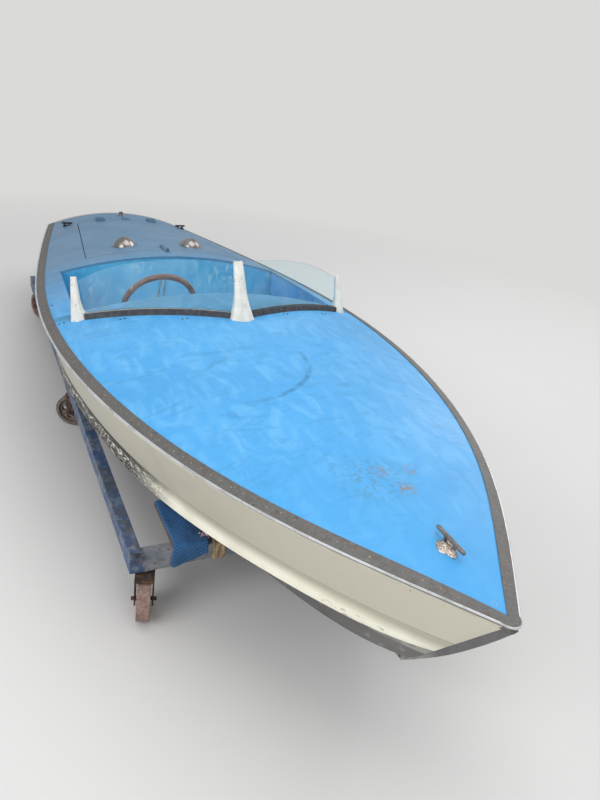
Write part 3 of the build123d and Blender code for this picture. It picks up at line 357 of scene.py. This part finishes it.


# Rub rail, by its depth under the deck's edge: bright bead, groove painted dark as shade, cream
# fillet
s = Shade("bead_metal", 0.32)
deep = under_edge(s)
colour = s.mix(s.noise(18, 0.45, 0.7), (0.66, 0.67, 0.68), (0.46, 0.46, 0.46))
# Painted shade: the groove under the bead is coloured near black for the shadow that falls in it
colour = s.mix(s.spread(deep, 0.0058, 0.0066), colour, (0.045, 0.043, 0.041))
colour = s.mix(s.spread(deep, 0.0118, 0.0126), colour,
               s.mix(s.noise(12, 0.4, 0.7), (0.62, 0.60, 0.51), CREAM))
s.link(s.spread(deep, 0.0055, 0.0066, 0.55, 0.0), s.shader.inputs["Metallic"])
bead_metal = s.done(colour, s.spread(s.noise(30), 0.3, 0.7, 0.25, 0.42))

# Fittings
s = Shade("chrome", 0.2, 1.0)
pits = s.noise(160, 0.58, 0.66, 5)
dulled = s.mix(s.noise(12, 0.4, 0.6), (0.46, 0.45, 0.44), (0.33, 0.30, 0.28))
colour = s.mix(pits, dulled, (0.10, 0.08, 0.06))
chrome = s.done(colour, s.spread(s.noise(26), 0.35, 0.7, 0.16, 0.36))

s = Shade("cleat_bar", 0.5, 0.3)
colour = s.mix(s.noise(40, 0.4, 0.65, 6, stretch=(1.0, 2.0, 1.0)),
               (0.170, 0.160, 0.155), (0.100, 0.092, 0.088))
colour = s.mix(s.both(s.noise(130, 0.56, 0.66, 5), 0.7), colour, (0.34, 0.31, 0.28))
s.bump(s.noise(160), 0.3, 0.0005)
cleat_bar = s.done(colour)
s = Shade("cleat_casting", 0.38, 0.45)
colour = s.mix(s.noise(55, 0.42, 0.58, 6), (0.62, 0.56, 0.50), (0.46, 0.34, 0.27))
colour = s.mix(s.noise(150, 0.55, 0.64, 6), colour, (0.70, 0.68, 0.63))
colour = s.mix(s.noise(120, 0.55, 0.62, 6), colour, (0.070, 0.055, 0.045))
mossy = s.both(s.spread(s.x, 2.163, 2.154), s.noise(50, 0.30, 0.5))
colour = s.mix(mossy, colour, (0.20, 0.18, 0.045))
s.bump(s.noise(130, detail=5), 0.6, 0.001)
cleat_casting = s.done(colour)
dark_cast = rusty("dark_cast", (0.035, 0.042, 0.058), 0.1, 0.55, 0.5, 60)
s, colour = plain_paint("painted_leaf", (0.085, 0.165, 0.255), (0.110, 0.205, 0.310),
                        0.5, 0.5, 30)
painted_leaf = s.done(colour)
engine_iron = rusty("engine_iron", (0.06, 0.09, 0.08), 0.2)
caster_steel = rusty("caster_steel", (0.060, 0.045, 0.040), 0.45, 0.8, 0.2, 40)
spoke_metal = rusty("spoke_metal", (0.58, 0.58, 0.56), 0.05, 0.35, 0.5, 50)
bronze = rusty("bronze", (0.34, 0.22, 0.09), 0.1, 0.45, 0.8, 18)

# Windscreen
s = Shade("post_paint", 0.34)
colour = s.mix(s.noise(20, 0.4, 0.7), (0.80, 0.79, 0.73), (0.68, 0.66, 0.58))
runs = s.noise(9, 0.52, 0.75, 7, stretch=(1.0, 1.0, 0.25))
colour = s.mix(s.both(runs, 0.6), colour, (0.52, 0.50, 0.42))
rust_specks = s.both(s.noise(95, 0.63, 0.66, 5), s.noise(14, 0.50, 0.6))
post_paint = s.done(s.mix(s.both(rust_specks, 0.8), colour, (0.20, 0.14, 0.10)))

s = Shade("gasket_rubber", 0.6)
gasket_rubber = s.done(s.mix(s.noise(40, 0.4, 0.7), (0.022, 0.024, 0.030),
                             (0.060, 0.066, 0.078)))

s = Shade("acrylic", 0.04, IOR=1.18)
haze = s.noise(7, 0.45, 0.80, 6, distortion=1.6)
streak = s.both(s.noise(55, 0.54, 0.76, 10, stretch=(1.0, 1.0, 0.35), distortion=0.8),
                s.noise(6, 0.45, 0.62))
s.link(s.math("SUBTRACT", s.spread(haze, 0.0, 1.0, 0.985, 0.94), s.both(streak, 0.16)),
       s.shader.inputs["Transmission Weight"])
acrylic = s.done(s.mix(streak, (0.86, 0.97, 0.98), (0.90, 0.97, 0.98)),
                 s.spread(streak, 0.0, 1.0, 0.02, 0.16))

# Steering wheel's rim
s = Shade("rim_plastic", 0.42)
colour = s.mix(s.noise(30, 0.4, 0.7, 5), (0.115, 0.040, 0.030), (0.200, 0.085, 0.060))
rim_plastic = s.done(s.mix(s.both(s.noise(70, 0.6, 0.7), 0.5), colour, (0.30, 0.19, 0.15)))

# Trolley: blue and grey paint, bare on the front cross-member and black at its corners
FRONT_CORNER = (1.366, 0.725, 0.29)
s = Shade("trolley_paint", 0.62)
patch = s.noise(6.5, 0.46, 0.54, 4, stretch=(1.0, 2.0, 1.0), distortion=0.6)
colour = s.mix(patch, (0.130, 0.180, 0.265), (0.050, 0.100, 0.215))
colour = s.mix(s.noise(34, 0.50, 0.70, 7), colour, (0.230, 0.250, 0.270))
colour = s.mix(s.both(s.noise(11, 0.50, 0.62, 7, distortion=1.0), 0.7), colour,
               (0.075, 0.082, 0.100))
front_bar = s.both(s.spread(s.x, 1.30, 1.32),
                   s.spread(s.math("ABSOLUTE", s.y), 0.700, 0.690))
bared = s.mix(s.noise(16, 0.4, 0.65, 7), (0.290, 0.295, 0.300), (0.150, 0.175, 0.210))
colour = s.mix(s.both(front_bar, 0.8), colour, bared)
x, y, z = FRONT_CORNER
corner = s.math("MAXIMUM", s.near((x, -y, z), 0.012, 0.04), s.near((x, y, z), 0.012, 0.04))
colour = s.mix(s.both(corner, s.noise(40, 0.40, 0.55, 6)), colour, (0.035, 0.028, 0.030))
colour = s.mix(s.both(s.noise(60, 0.60, 0.64, 6), 0.8), colour, (0.11, 0.075, 0.06))
s.bump(s.noise(80, detail=6), 0.3, 0.0008)
trolley_paint = s.done(colour)


def worn_tread(name, base, other):
    """A caster wheel's cast iron, with spots of rust."""
    s = Shade(name, 0.85)
    colour = s.mix(s.noise(60, 0.40, 0.6, 8), base, other)
    colour = s.mix(s.both(s.noise(230, 0.54, 0.66, 5), 0.7), colour, (0.12, 0.075, 0.060))
    s.bump(s.noise(120, detail=6), 0.5, 0.001)
    return s.done(colour)


tread = worn_tread("tread", (0.33, 0.225, 0.190), (0.235, 0.155, 0.130))
tread_grey = worn_tread("tread_grey", (0.200, 0.165, 0.145), (0.125, 0.100, 0.090))

s = Shade("bare_wood", 0.8)
grain = s.noise(10, 0.35, 0.7, 6, stretch=(1.0, 9.0, 9.0), distortion=1.0)
colour = s.mix(grain, (0.24, 0.15, 0.085), (0.12, 0.075, 0.045))
bare_wood = s.done(s.mix(s.noise(6, 0.5, 0.7), colour, (0.09, 0.075, 0.06)))

# Blue knitted cloth with pale dots
DOT_PITCH = 0.018
s = Shade("knit", 0.9, Sheen_Weight=0.15)
dots = 1.0
for direction in (s.y, s.math("SUBTRACT", s.x, s.z)):
    dots = s.both(dots, s.math("SINE", s.both(direction, 2 * pi / DOT_PITCH)))
light_dots = s.both(s.spread(dots, 0.35, 0.75), s.noise(60, 0.30, 0.55))
colour = s.mix(s.noise(10, 0.35, 0.7), (0.012, 0.100, 0.290), (0.022, 0.135, 0.350))
colour = s.mix(s.both(s.noise(3.5, 0.45, 0.65), 0.6), colour, (0.010, 0.060, 0.160))
colour = s.mix(s.both(light_dots, 0.6), colour, (0.110, 0.280, 0.480))
s.bump(dots, 0.5, 0.0015)
knit = s.done(colour)

s = Shade("rag_cloth", 0.9, Sheen_Weight=0.1)
colour = s.mix(s.noise(70, 0.46, 0.54, 3), (0.42, 0.20, 0.24), (0.60, 0.53, 0.54))
colour = s.mix(s.noise(50, 0.56, 0.62, 4), colour, (0.10, 0.07, 0.16))
s.bump(s.noise(400), 0.3, 0.0005)
rag_cloth = s.done(colour)

s = Shade("matting", 0.9)
colour = s.mix(s.noise(60, 0.4, 0.65, 5, stretch=(1.0, 0.2, 1.0)),
               (0.40, 0.29, 0.17), (0.22, 0.15, 0.09))
s.bump(s.noise(150), 0.5, 0.001)
matting = s.done(colour)

# Which CAD nodes wear which material; the nodes that a finer piece replaces aren't shown
CASTERS = ("fs", "fp", "ms", "mp", "rs", "rp")
DRESS = {
    foredeck_paint: ["foredeck"], side_deck_paint: ["side_decks"],
    aft_deck_paint: ["aft_deck", "engine_hatch"],
    cockpit_paint: ["front_bulkhead", "seat_back", "dash_panel"], coaming_paint: ["coamings"],
    floor_paint: ["floor_boards"], topside_paint: ["topside_port", "topside_starboard", "transom"],
    strake_paint: ["strakes"], bottom_paint: ["hull_bottom"],
    band_metal: ["deck_band"], stem_metal: ["stem_band", "keel_strip"], bead_metal: ["rub_rail"],
    chrome: ["vent_domes", "flag_socket"], spoke_metal: ["steering_hub", "steering_column"],
    dark_cast: ["stern_cleats", "deck_staple"],
    painted_leaf: ["hatch_leaves", "deck_leaves", "hatch_hasp"],
    engine_iron: ["engine"], post_paint: ["center_post", "side_posts"],
    gasket_rubber: ["windscreen_gaskets"], acrylic: ["windscreen_panes"],
    rim_plastic: ["steering_rim"],
    bronze: ["propeller", "prop_shaft", "shaft_log", "shaft_bracket", "rudder", "rudder_gland"],
    trolley_paint: ["trolley_frame"], bare_wood: ["keel_chocks", "bilge_chocks", "packing_boards"],
    caster_steel: [f"caster_fork_{c}" for c in CASTERS],
    tread_grey: ["caster_wheel_ms", "caster_wheel_rp"],
    tread: [f"caster_wheel_{c}" for c in ("fs", "fp", "mp", "rs")],
}
for material, nodes in DRESS.items():
    for node in nodes:
        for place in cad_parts[node].material_slots:
            place.link = "OBJECT"
            place.material = material


def piece(name, mesh, materials, body=ROOT, smooth=True):
    """Makes an object of a bmesh, gives it its material or materials and lets it ride."""
    data = bpy.data.meshes.new(name)
    mesh.to_mesh(data)
    mesh.free()
    for material in materials if isinstance(materials, list) else [materials]:
        data.materials.append(material)
    for face in data.polygons:
        face.use_smooth = smooth
    made = bpy.data.objects.new(name, data)
    bpy.context.scene.collection.objects.link(made)
    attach(made, body)
    return made


RAY_TOP = 1.2               # height from which rays are cast down on the boat
SMALL = 0.001               # keeps a quotient finite where a sine is zero


def surface(node):
    """A tree that finds where a ray meets a CAD node."""
    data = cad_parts[node].data
    return BVHTree.FromPolygons([v.co.copy() for v in data.vertices],
                                [p.vertices[:] for p in data.polygons])


def drop_on(tree, x, y):
    """Where a ray straight down meets a surface, and its normal there, or None twice."""
    return tree.ray_cast(Vector((x, y, RAY_TOP)), Vector((0, 0, -1)))[:2]


def facing_sky(point, normal):
    """The same point, with its normal turned to look up."""
    return point, normal if normal.z > 0 else -normal


def stand(point, normal, turn=0.0):
    """A frame on a surface, with its z along the normal."""
    return (Matrix.Translation(point) @ normal.to_track_quat("Z", "Y").to_matrix().to_4x4()
            @ Matrix.Rotation(turn, 4, "Z"))


def skin(mesh, rows, closed=False, material_index=0):
    """Joins neighbouring rows of points by quads."""
    for a, b in zip(rows, rows[1:]):
        for k in range(len(a) if closed else len(a) - 1):
            after = (k + 1) % len(a)
            mesh.faces.new((a[k], a[after], b[after], b[k])).material_index = material_index


def area_of(mesh):
    return sum(face.calc_area() for face in mesh.faces)


def thicken(made, thickness):
    """Gives a cloth its thickness, half of it to each side."""
    solid = made.modifiers.new("thickness", "SOLIDIFY")
    solid.thickness = thickness
    solid.offset = 0


HEAD_SIDES, HEAD_SUNK, HEAD_TURN = 12, 0.0004, 0.7      # each head is turned on from the last


def screw_heads(name, places, radius, high, material):
    """Low domed heads on a surface, as one joined mesh."""
    mesh = bmesh.new()
    for number, (point, normal) in enumerate(places):
        base = stand(point, normal, number * HEAD_TURN)
        rings = []
        for share, lift in ((1.0, -HEAD_SUNK), (0.92, high * 0.6), (0.55, high)):
            turns = [k * pi / (HEAD_SIDES / 2) for k in range(HEAD_SIDES)]
            rings.append([mesh.verts.new(base @ Vector((radius * share * cos(turn),
                                                        radius * share * sin(turn), lift)))
                          for turn in turns])
        skin(mesh, rings, closed=True)
        mesh.faces.new(rings[-1])
    return piece(name, mesh, material, smooth=False)


# Screws along the metal strip, whose middle is found by rays that step in from outside
SCREW_FIRST, SCREW_LAST, SCREW_STEP = 2.36, -2.44, 0.045
SCREW_RADIUS, SCREW_HIGH = 0.0042, 0.0012
SCAN_FROM, SCAN_STEP, SCAN_COUNT = 0.92, 0.005, 200
strip = surface("deck_band")
places = []
for side in (-1, 1):
    x = SCREW_FIRST
    while x > SCREW_LAST:
        hits = []
        for step in range(SCAN_COUNT):
            hit = drop_on(strip, x, side * (SCAN_FROM - step * SCAN_STEP))
            if hit[0] is not None:
                hits.append(hit)
            elif hits:
                break
        if hits:
            places.append(facing_sky(*hits[len(hits) // 2]))
        x -= SCREW_STEP
screw_metal = rusty("screw_metal", (0.36, 0.27, 0.20), 0.30, 0.6, 0.2, 90)
screw_heads("band_screws", places, SCREW_RADIUS, SCREW_HIGH, screw_metal)

# Pairs of press studs that held a cover, given by their distance aft of the tip and across
STUDS = ((2.241, -0.544), (2.109, -0.274), (2.379, -0.810),
         (2.678, -0.827), (2.129, 0.275), (2.224, 0.554))
STUD_SHIFT = 0.011          # from the middle of a pair to each stud
STUD_RADIUS, STUD_HIGH = 0.0048, 0.0030
decks = [surface(node) for node in ("foredeck", "side_decks")]
places = []
for aft, across in STUDS:
    for shift in (-STUD_SHIFT, STUD_SHIFT):
        for deck in decks:
            hit = drop_on(deck, DECK_TIP - aft, across + shift)
            if hit[0] is not None:
                places.append(facing_sky(*hit))
                break
stud_metal = rusty("stud_metal", (0.040, 0.050, 0.070), 0.2, 0.45, 0.6, 90)
screw_heads("deck_studs", places, STUD_RADIUS, STUD_HIGH, stud_metal)

# Rounded nose where the metal strips, the beads and the stem's metal meet
NOSE_HALF, NOSE_AHEAD = 0.0213, 0.030           # half width, and station ahead of the deck's tip
NOSE_TURN, NOSE_STEPS = radians(52), 28         # the last normal's angle, and steps in the sweep
LEAN_SIDE, LEAN_FRONT = 0.70, 0.19              # how far the side and the front lean per height
STRIP_TOP = 0.0031
# How far each point of the section stands out, and its height: the bead, its groove (painted dark
# as shade by the bead's material), the fillet, and the foot that covers the head of the stem's
# metal
NOSE_PROFILE = ((0, STRIP_TOP), (0.0030, 0.0024), (0.0044, 0.0008), (0.0048, -0.0016),
                (0.0044, -0.0040), (0.0028, -0.0056), (0, -0.0064), (-0.0018, -0.0068),
                (-0.0018, -0.0123), (0, -0.0124), (0, -0.0205), (0, -0.0265), (-0.012, -0.0265))
BEAD_FACES = 7                                  # faces of the section that are the bead's
FOOT_TOP = -0.02                                # height under which the foot flares
HEAD_FRONT, HEAD_HALF = 0.0291, 0.0150          # reach and half width of the stem metal's head
TAIL_LONG, TAIL_OUT = 0.007, 0.0003             # how the ends run back over the straight beads
NOSE_BACK, HEART_BACK = 0.012, 0.008            # where the nose's top ends ahead of the tip
RIM_IN, RIM_SHARE = 0.0018, 0.55                # inset of its corners, and place of its inner rim
LIFT_ON_STRIP, LIFT_AHEAD = 0.0004, 0.0002      # clearance over the strip, and ahead of it
radius = NOSE_HALF / sin(NOSE_TURN)
middle = Vector((DECK_TIP + NOSE_AHEAD - radius * cos(NOSE_TURN), 0,
                 TIP_Z + SHEER_FALL * NOSE_AHEAD))
mesh = bmesh.new()
sweep = []
for step in range(NOSE_STEPS + 1):
    angle = NOSE_TURN * (2 * step / NOSE_STEPS - 1)
    out = Vector((cos(angle), sin(angle), 0))
    lean = LEAN_FRONT + (LEAN_SIDE - LEAN_FRONT) * (abs(angle) / NOSE_TURN) ** 2
    head = min(HEAD_FRONT / cos(angle), HEAD_HALF / max(abs(sin(angle)), SMALL))
    flare = max(0.0, head - radius)
    line = []
    for proud, height in NOSE_PROFILE:
        reach = radius + proud + (flare if height < FOOT_TOP and proud == 0 else 0.0)
        line.append(mesh.verts.new(middle + out * reach + Vector((lean * height, 0, height))))
    sweep.append(line)
for ends, side in ((sweep[0], -1), (sweep[-1], 1)):
    run_back = Vector((-sin(NOSE_TURN), side * cos(NOSE_TURN), 0)) * TAIL_LONG
    outward = Vector((cos(NOSE_TURN), side * sin(NOSE_TURN), 0)) * TAIL_OUT
    tail = [mesh.verts.new(vert.co + run_back + outward) for vert in ends]
    sweep = [tail] + sweep if side < 0 else sweep + [tail]
for a, b in zip(sweep, sweep[1:]):
    for k in range(len(NOSE_PROFILE) - 1):
        face = mesh.faces.new((a[k], a[k + 1], b[k + 1], b[k]))
        face.material_index = 1 if k < BEAD_FACES else 0


def on_strip(x, y):
    """A point just over the metal strip, or at its height where there is none."""
    hit = drop_on(strip, x, y)[0]
    ahead = middle.z + STRIP_TOP + LIFT_AHEAD
    return Vector((x, y, ahead if hit is None else hit.z + LIFT_ON_STRIP))


back = Vector((DECK_TIP + NOSE_BACK, 0, 0))
reach = NOSE_HALF - RIM_IN + (NOSE_AHEAD - NOSE_BACK) / tan(NOSE_TURN)
sides = [mesh.verts.new(on_strip(back.x, side * reach)) for side in (-1, 1)]
rim = [sides[0]] + [ring[0] for ring in sweep] + [sides[1]]
inner = []
for vert in rim:
    spot = back.lerp(vert.co, RIM_SHARE)
    inner.append(mesh.verts.new(on_strip(spot.x, spot.y)))
heart = mesh.verts.new(on_strip(back.x - HEART_BACK, 0))
for k in range(len(rim) - 1):
    mesh.faces.new((rim[k], rim[k + 1], inner[k + 1], inner[k]))
    mesh.faces.new((inner[k], inner[k + 1], heart))
nose = piece("nose_cap", mesh, [band_metal, bead_metal])
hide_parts("bow_cap")

# Bow cleat: a worn flat bar on two posts, over a lumpy casting
BAR_HALF, BAR_WIDE, BAR_THICK, BAR_HIGH = 0.070, 0.0080, 0.0055, 0.026
BAR_ROUND, BAR_BLUNT, BAR_STEPS = 0.009, 0.50, 16       # its rounded ends and their least width
BAR_SECTION = ((1, -0.4), (1, 0.4), (0.6, 1), (-0.6, 1),
               (-1, 0.4), (-1, -0.4), (-0.6, -1), (0.6, -1))
POSTS, POST_SIDES, POST_FLAT = (-0.022, 0.022), 16, 0.8
POST_RINGS = ((0.0085, 0.004), (0.0060, 0.014), (0.0070, BAR_HIGH))     # radius and height
CAST_LONG, CAST_WIDE, CAST_HIGH, CAST_SUNK = 0.041, 0.029, 0.0120, 0.0015
CAST_SHIFT, CAST_AHEAD = -0.011, 0.004      # the casting isn't central under the bar
CAST_RINGS, CAST_SIDES = 9, 40
low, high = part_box("bow_cleat")
point = drop_on(surface("foredeck"), (low.x + high.x) / 2, (low.y + high.y) / 2)[0]
base = Matrix.Translation(point)
mesh = bmesh.new()
rows = []
for step in range(BAR_STEPS + 1):
    along = -BAR_HALF + BAR_HALF * step / (BAR_STEPS / 2)
    end = max(0.0, abs(along) - BAR_HALF + BAR_ROUND) / BAR_ROUND
    slim = max(BAR_BLUNT, (1 - end ** 2) ** 0.5) * (1 + 0.05 * sin(step * 1.7))
    rows.append([mesh.verts.new(base @ Vector((along, BAR_WIDE * slim * across,
                                               BAR_HIGH + BAR_THICK * slim ** 0.5 * up)))
                 for across, up in BAR_SECTION])
skin(mesh, rows, closed=True)
mesh.faces.new(rows[0][::-1])
mesh.faces.new(rows[-1])
for spot in POSTS:
    rings = []
    for wide, height in POST_RINGS:
        turns = [k * pi / (POST_SIDES / 2) for k in range(POST_SIDES)]
        rings.append([mesh.verts.new(base @ Vector((spot + wide * cos(turn),
                                                    wide * POST_FLAT * sin(turn), height)))
                      for turn in turns])
    skin(mesh, rings, closed=True)
rings = []
for ring in range(CAST_RINGS):
    share = 1 - ring / CAST_RINGS
    line = []
    for k in range(CAST_SIDES):
        turn = k * pi / (CAST_SIDES / 2)
        edge = 1 + 0.10 * sin(3 * turn + 1.0) + 0.07 * sin(5 * turn + 2.0)
        lump = 0.0016 * sin(7 * turn + 9 * share) + 0.0012 * sin(11 * turn - 14 * share)
        dome = CAST_HIGH * (1 - share ** 2.2) ** 0.5 + (lump if 0 < ring else 0.0)
        line.append(mesh.verts.new(base @ Vector((
            CAST_AHEAD + CAST_LONG * edge * share * cos(turn),
            CAST_SHIFT + CAST_WIDE * edge * share * sin(turn), dome - CAST_SUNK))))
    rings.append(line)
skin(mesh, rings, closed=True, material_index=1)
mesh.faces.new(rings[-1]).material_index = 1
cleat = piece("bow_cleat_cast", mesh, [cleat_bar, cleat_casting])
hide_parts("bow_cleat")

# Cloth laid over the packing board and the front cross-member
CLOTH_COLUMNS, CLOTH_ROWS, CLOTH_THICK = 30, 64, 0.003
CLOTH_SLANT = 0.042         # how much shorter the cloth is to port
CLOTH_BEND, CLOTH_LIE = 0.004, 0.0045       # inset of its bend, and depth of its flat part
CLOTH_HEM, CLOTH_SAG = 0.05, 0.010          # share of its width that sags at the starboard edge
low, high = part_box("padding_cloth")
run = (high.x - low.x) + (high.z - low.z)
flat = high.x - low.x - CLOTH_BEND
mesh = bmesh.new()
grid = []
for row in range(CLOTH_ROWS + 1):
    line = []
    for column in range(CLOTH_COLUMNS + 1):
        share = column / CLOTH_COLUMNS
        along = (run - CLOTH_SLANT * share ** 1.5) * row / CLOTH_ROWS
        y = low.y + (high.y - low.y) * share
        wave = 0.0016 * sin(share * 7 + along * 19) + 0.0010 * sin(share * 13 - along * 31)
        if along < flat:
            sag = CLOTH_SAG * max(0.0, 1 - share / CLOTH_HEM)
            point = Vector((low.x + along, y, high.z - CLOTH_LIE + wave - sag))
        else:
            drop = along - flat
            swing = min(drop / 0.05, 1.0)
            point = Vector((high.x - CLOTH_BEND + (wave + 0.0015 * sin(share * 12)) * swing, y,
                            high.z - CLOTH_BEND - drop))
            point.y += 0.010 * swing * sin(share * 5 + 1) * (share - 0.5)
        line.append(mesh.verts.new(point))
    grid.append(line)
skin(mesh, grid)
cloth_area = area_of(mesh)
cloth = piece("padding_cloth_knit", mesh, knit)
thicken(cloth, CLOTH_THICK)
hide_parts("padding_cloth")

# Worn matting bunched over the front cross-member
MAT_COLUMNS, MAT_ROWS, MAT_THICK = 16, 40, 0.005
MAT_BEND, MAT_LIE = 0.006, 0.008            # inset of its bend, and depth of its flat part
MAT_FACE, MAT_TOP = 0.007, 0.005            # inset and depth of the part that hangs
low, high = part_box("padding_roll")
run = (high.x - low.x) + (high.z - low.z)
flat = high.x - low.x - MAT_BEND
mesh = bmesh.new()
grid = []
for row in range(MAT_ROWS + 1):
    along = run * row / MAT_ROWS
    line = []
    for column in range(MAT_COLUMNS + 1):
        share = column / MAT_COLUMNS
        y = low.y + (high.y - low.y) * share
        wave = 0.0035 * sin(share * 11 + along * 40) + 0.0015 * sin(share * 23 - along * 60)
        if along < flat:
            point = Vector((low.x + along, y, high.z - MAT_LIE + wave))
        else:
            drop = along - flat
            point = Vector((high.x - MAT_FACE + wave,
                            y + 0.004 * sin(drop * 70) * (0.5 - share),
                            high.z - MAT_TOP - drop))
        line.append(mesh.verts.new(point))
    grid.append(line)
skin(mesh, grid)
mat_area = area_of(mesh)
roll = piece("padding_roll_mat", mesh, matting)
thicken(roll, MAT_THICK)
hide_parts("padding_roll")

# Scrap of pink cloth tucked between the knitted cloth and the mat
RAG_LOW = Vector((DECK_TIP - 1.150, -0.474, 0.301))
RAG_HIGH = Vector((DECK_TIP - 1.116, -0.426, 0.330))
RAG_STEPS, RAG_LIFT, RAG_THICK = 26, 0.002, 0.0015
RAG_EDGE = 4.5              # how steeply its folds die out towards its edges
mesh = bmesh.new()
grid = []
for row in range(RAG_STEPS + 1):
    line = []
    for column in range(RAG_STEPS + 1):
        u, v = row / RAG_STEPS, column / RAG_STEPS
        fold = 0.5 + 0.32 * sin(9 * u + 5 * v) + 0.14 * sin(17 * v - 6 * u)
        round_off = min(1.0, RAG_EDGE * u, RAG_EDGE * (1 - u), RAG_EDGE * v, RAG_EDGE * (1 - v))
        line.append(mesh.verts.new(Vector((
            RAG_LOW.x + (RAG_HIGH.x - RAG_LOW.x) * (u + 0.06 * sin(11 * v)),
            RAG_LOW.y + (RAG_HIGH.y - RAG_LOW.y) * v,
            RAG_LOW.z + RAG_LIFT + (RAG_HIGH.z - RAG_LOW.z) * fold * round_off))))
    grid.append(line)
skin(mesh, grid)
rag_area = area_of(mesh)
rag = piece("tucked_rag", mesh, rag_cloth)
thicken(rag, RAG_THICK)

# Floor, light and camera
BACKDROP = (0.70, 0.70, 0.69)
FLOOR_HALF = 30
FLOOR_CLEAR, FLOOR_FADE = 2.7, 3.5      # radius that shows the lit floor, and the fade beyond it
mesh = bmesh.new()
bmesh.ops.create_grid(mesh, x_segments=1, y_segments=1, size=FLOOR_HALF)
data = bpy.data.meshes.new("floor")
mesh.to_mesh(data)
mesh.free()
floor = bpy.data.objects.new("floor", data)
bpy.context.scene.collection.objects.link(floor)
s = Shade("floor_plain", 0.9)
data.materials.append(s.done(s.mix(s.noise(1.5), (0.72, 0.71, 0.70), (0.75, 0.74, 0.73))))
nodes, links = s.tree.nodes, s.tree.links
glow, blend = nodes.new("ShaderNodeEmission"), nodes.new("ShaderNodeMixShader")
glow.inputs["Color"].default_value = (*BACKDROP, 1.0)
seen = nodes.new("ShaderNodeLightPath").outputs["Is Camera Ray"]
far = s.math("SUBTRACT", 1.0, s.near((0.0, 0.0, 0.0), FLOOR_CLEAR, FLOOR_FADE))
links.new(s.both(far, seen), blend.inputs[0])
links.new(s.shader.outputs[0], blend.inputs[1])
links.new(glow.outputs[0], blend.inputs[2])
links.new(blend.outputs[0], nodes["Material Output"].inputs["Surface"])

# Cool light from all round; the camera, also through the panes, sees the plain backdrop instead
WORLD_LIGHT, WORLD_STRENGTH = (0.95, 0.97, 1.0, 1), 0.55
world = bpy.data.worlds.new("studio")
bpy.context.scene.world = world
world.use_nodes = True
tree = world.node_tree
tree.nodes["Background"].inputs["Color"].default_value = WORLD_LIGHT
tree.nodes["Background"].inputs["Strength"].default_value = WORLD_STRENGTH
backdrop = tree.nodes.new("ShaderNodeBackground")
backdrop.inputs["Color"].default_value = (*BACKDROP, 1.0)
blend, path = tree.nodes.new("ShaderNodeMixShader"), tree.nodes.new("ShaderNodeLightPath")
rays = tree.nodes.new("ShaderNodeMath")
rays.operation, rays.use_clamp = "ADD", True
tree.links.new(path.outputs["Is Camera Ray"], rays.inputs[0])
tree.links.new(path.outputs["Is Transmission Ray"], rays.inputs[1])
tree.links.new(rays.outputs[0], blend.inputs[0])
tree.links.new(tree.nodes["Background"].outputs[0], blend.inputs[1])
tree.links.new(backdrop.outputs[0], blend.inputs[2])
tree.links.new(blend.outputs[0], tree.nodes["World Output"].inputs["Surface"])


LAMPS = (("overhead", (1.2, 0.8, 5.5), 5.0, 140),           # place, side and watts
         ("from_starboard", (3.0, -5.0, 3.2), 4.0, 155),
         ("from_port", (-1.5, 5.5, 3.5), 4.0, 80))
LIT_POINT = Vector((0.3, 0, 0.6))


def lamp(name, place, size, power):
    """A soft square lamp that looks at the boat's middle."""
    light = bpy.data.lights.new(name, "AREA")
    light.energy, light.size = power, size
    made = bpy.data.objects.new(name, light)
    bpy.context.scene.collection.objects.link(made)
    made.location = place
    made.rotation_euler = (LIT_POINT - Vector(place)).to_track_quat("-Z", "Y").to_euler()


for name, place, size, power in LAMPS:
    lamp(name, place, size, power)

# The photograph's view, as solved from the deck's outline; sizes in millimetres
SENSOR, LENS = 36.0, 31.5
CAMERA_AHEAD, CAMERA_ASIDE, CAMERA_HIGH = 0.974, -1.267, 2.10       # from the deck's tip, in metres
RIGHT = Vector((0.4164, 0.8991, 0.1352))
DOWNWARD = Vector((0.4621, -0.0812, -0.8831))
FORWARD = Vector((-0.7830, 0.4301, -0.4493))
camera_data = bpy.data.cameras.new("photo_view")
camera_data.sensor_width = SENSOR
camera_data.lens = LENS
camera_data.clip_start = 0.05
camera = bpy.data.objects.new("photo_view", camera_data)
bpy.context.scene.collection.objects.link(camera)
turned = Matrix((RIGHT, -DOWNWARD, -FORWARD)).transposed().to_4x4()
place = (DECK_TIP + CAMERA_AHEAD, CAMERA_ASIDE, CAMERA_HIGH)
camera.matrix_world = Matrix.Translation(place) @ turned
bpy.context.scene.camera = camera
bpy.context.scene.view_settings.view_transform = "Standard"
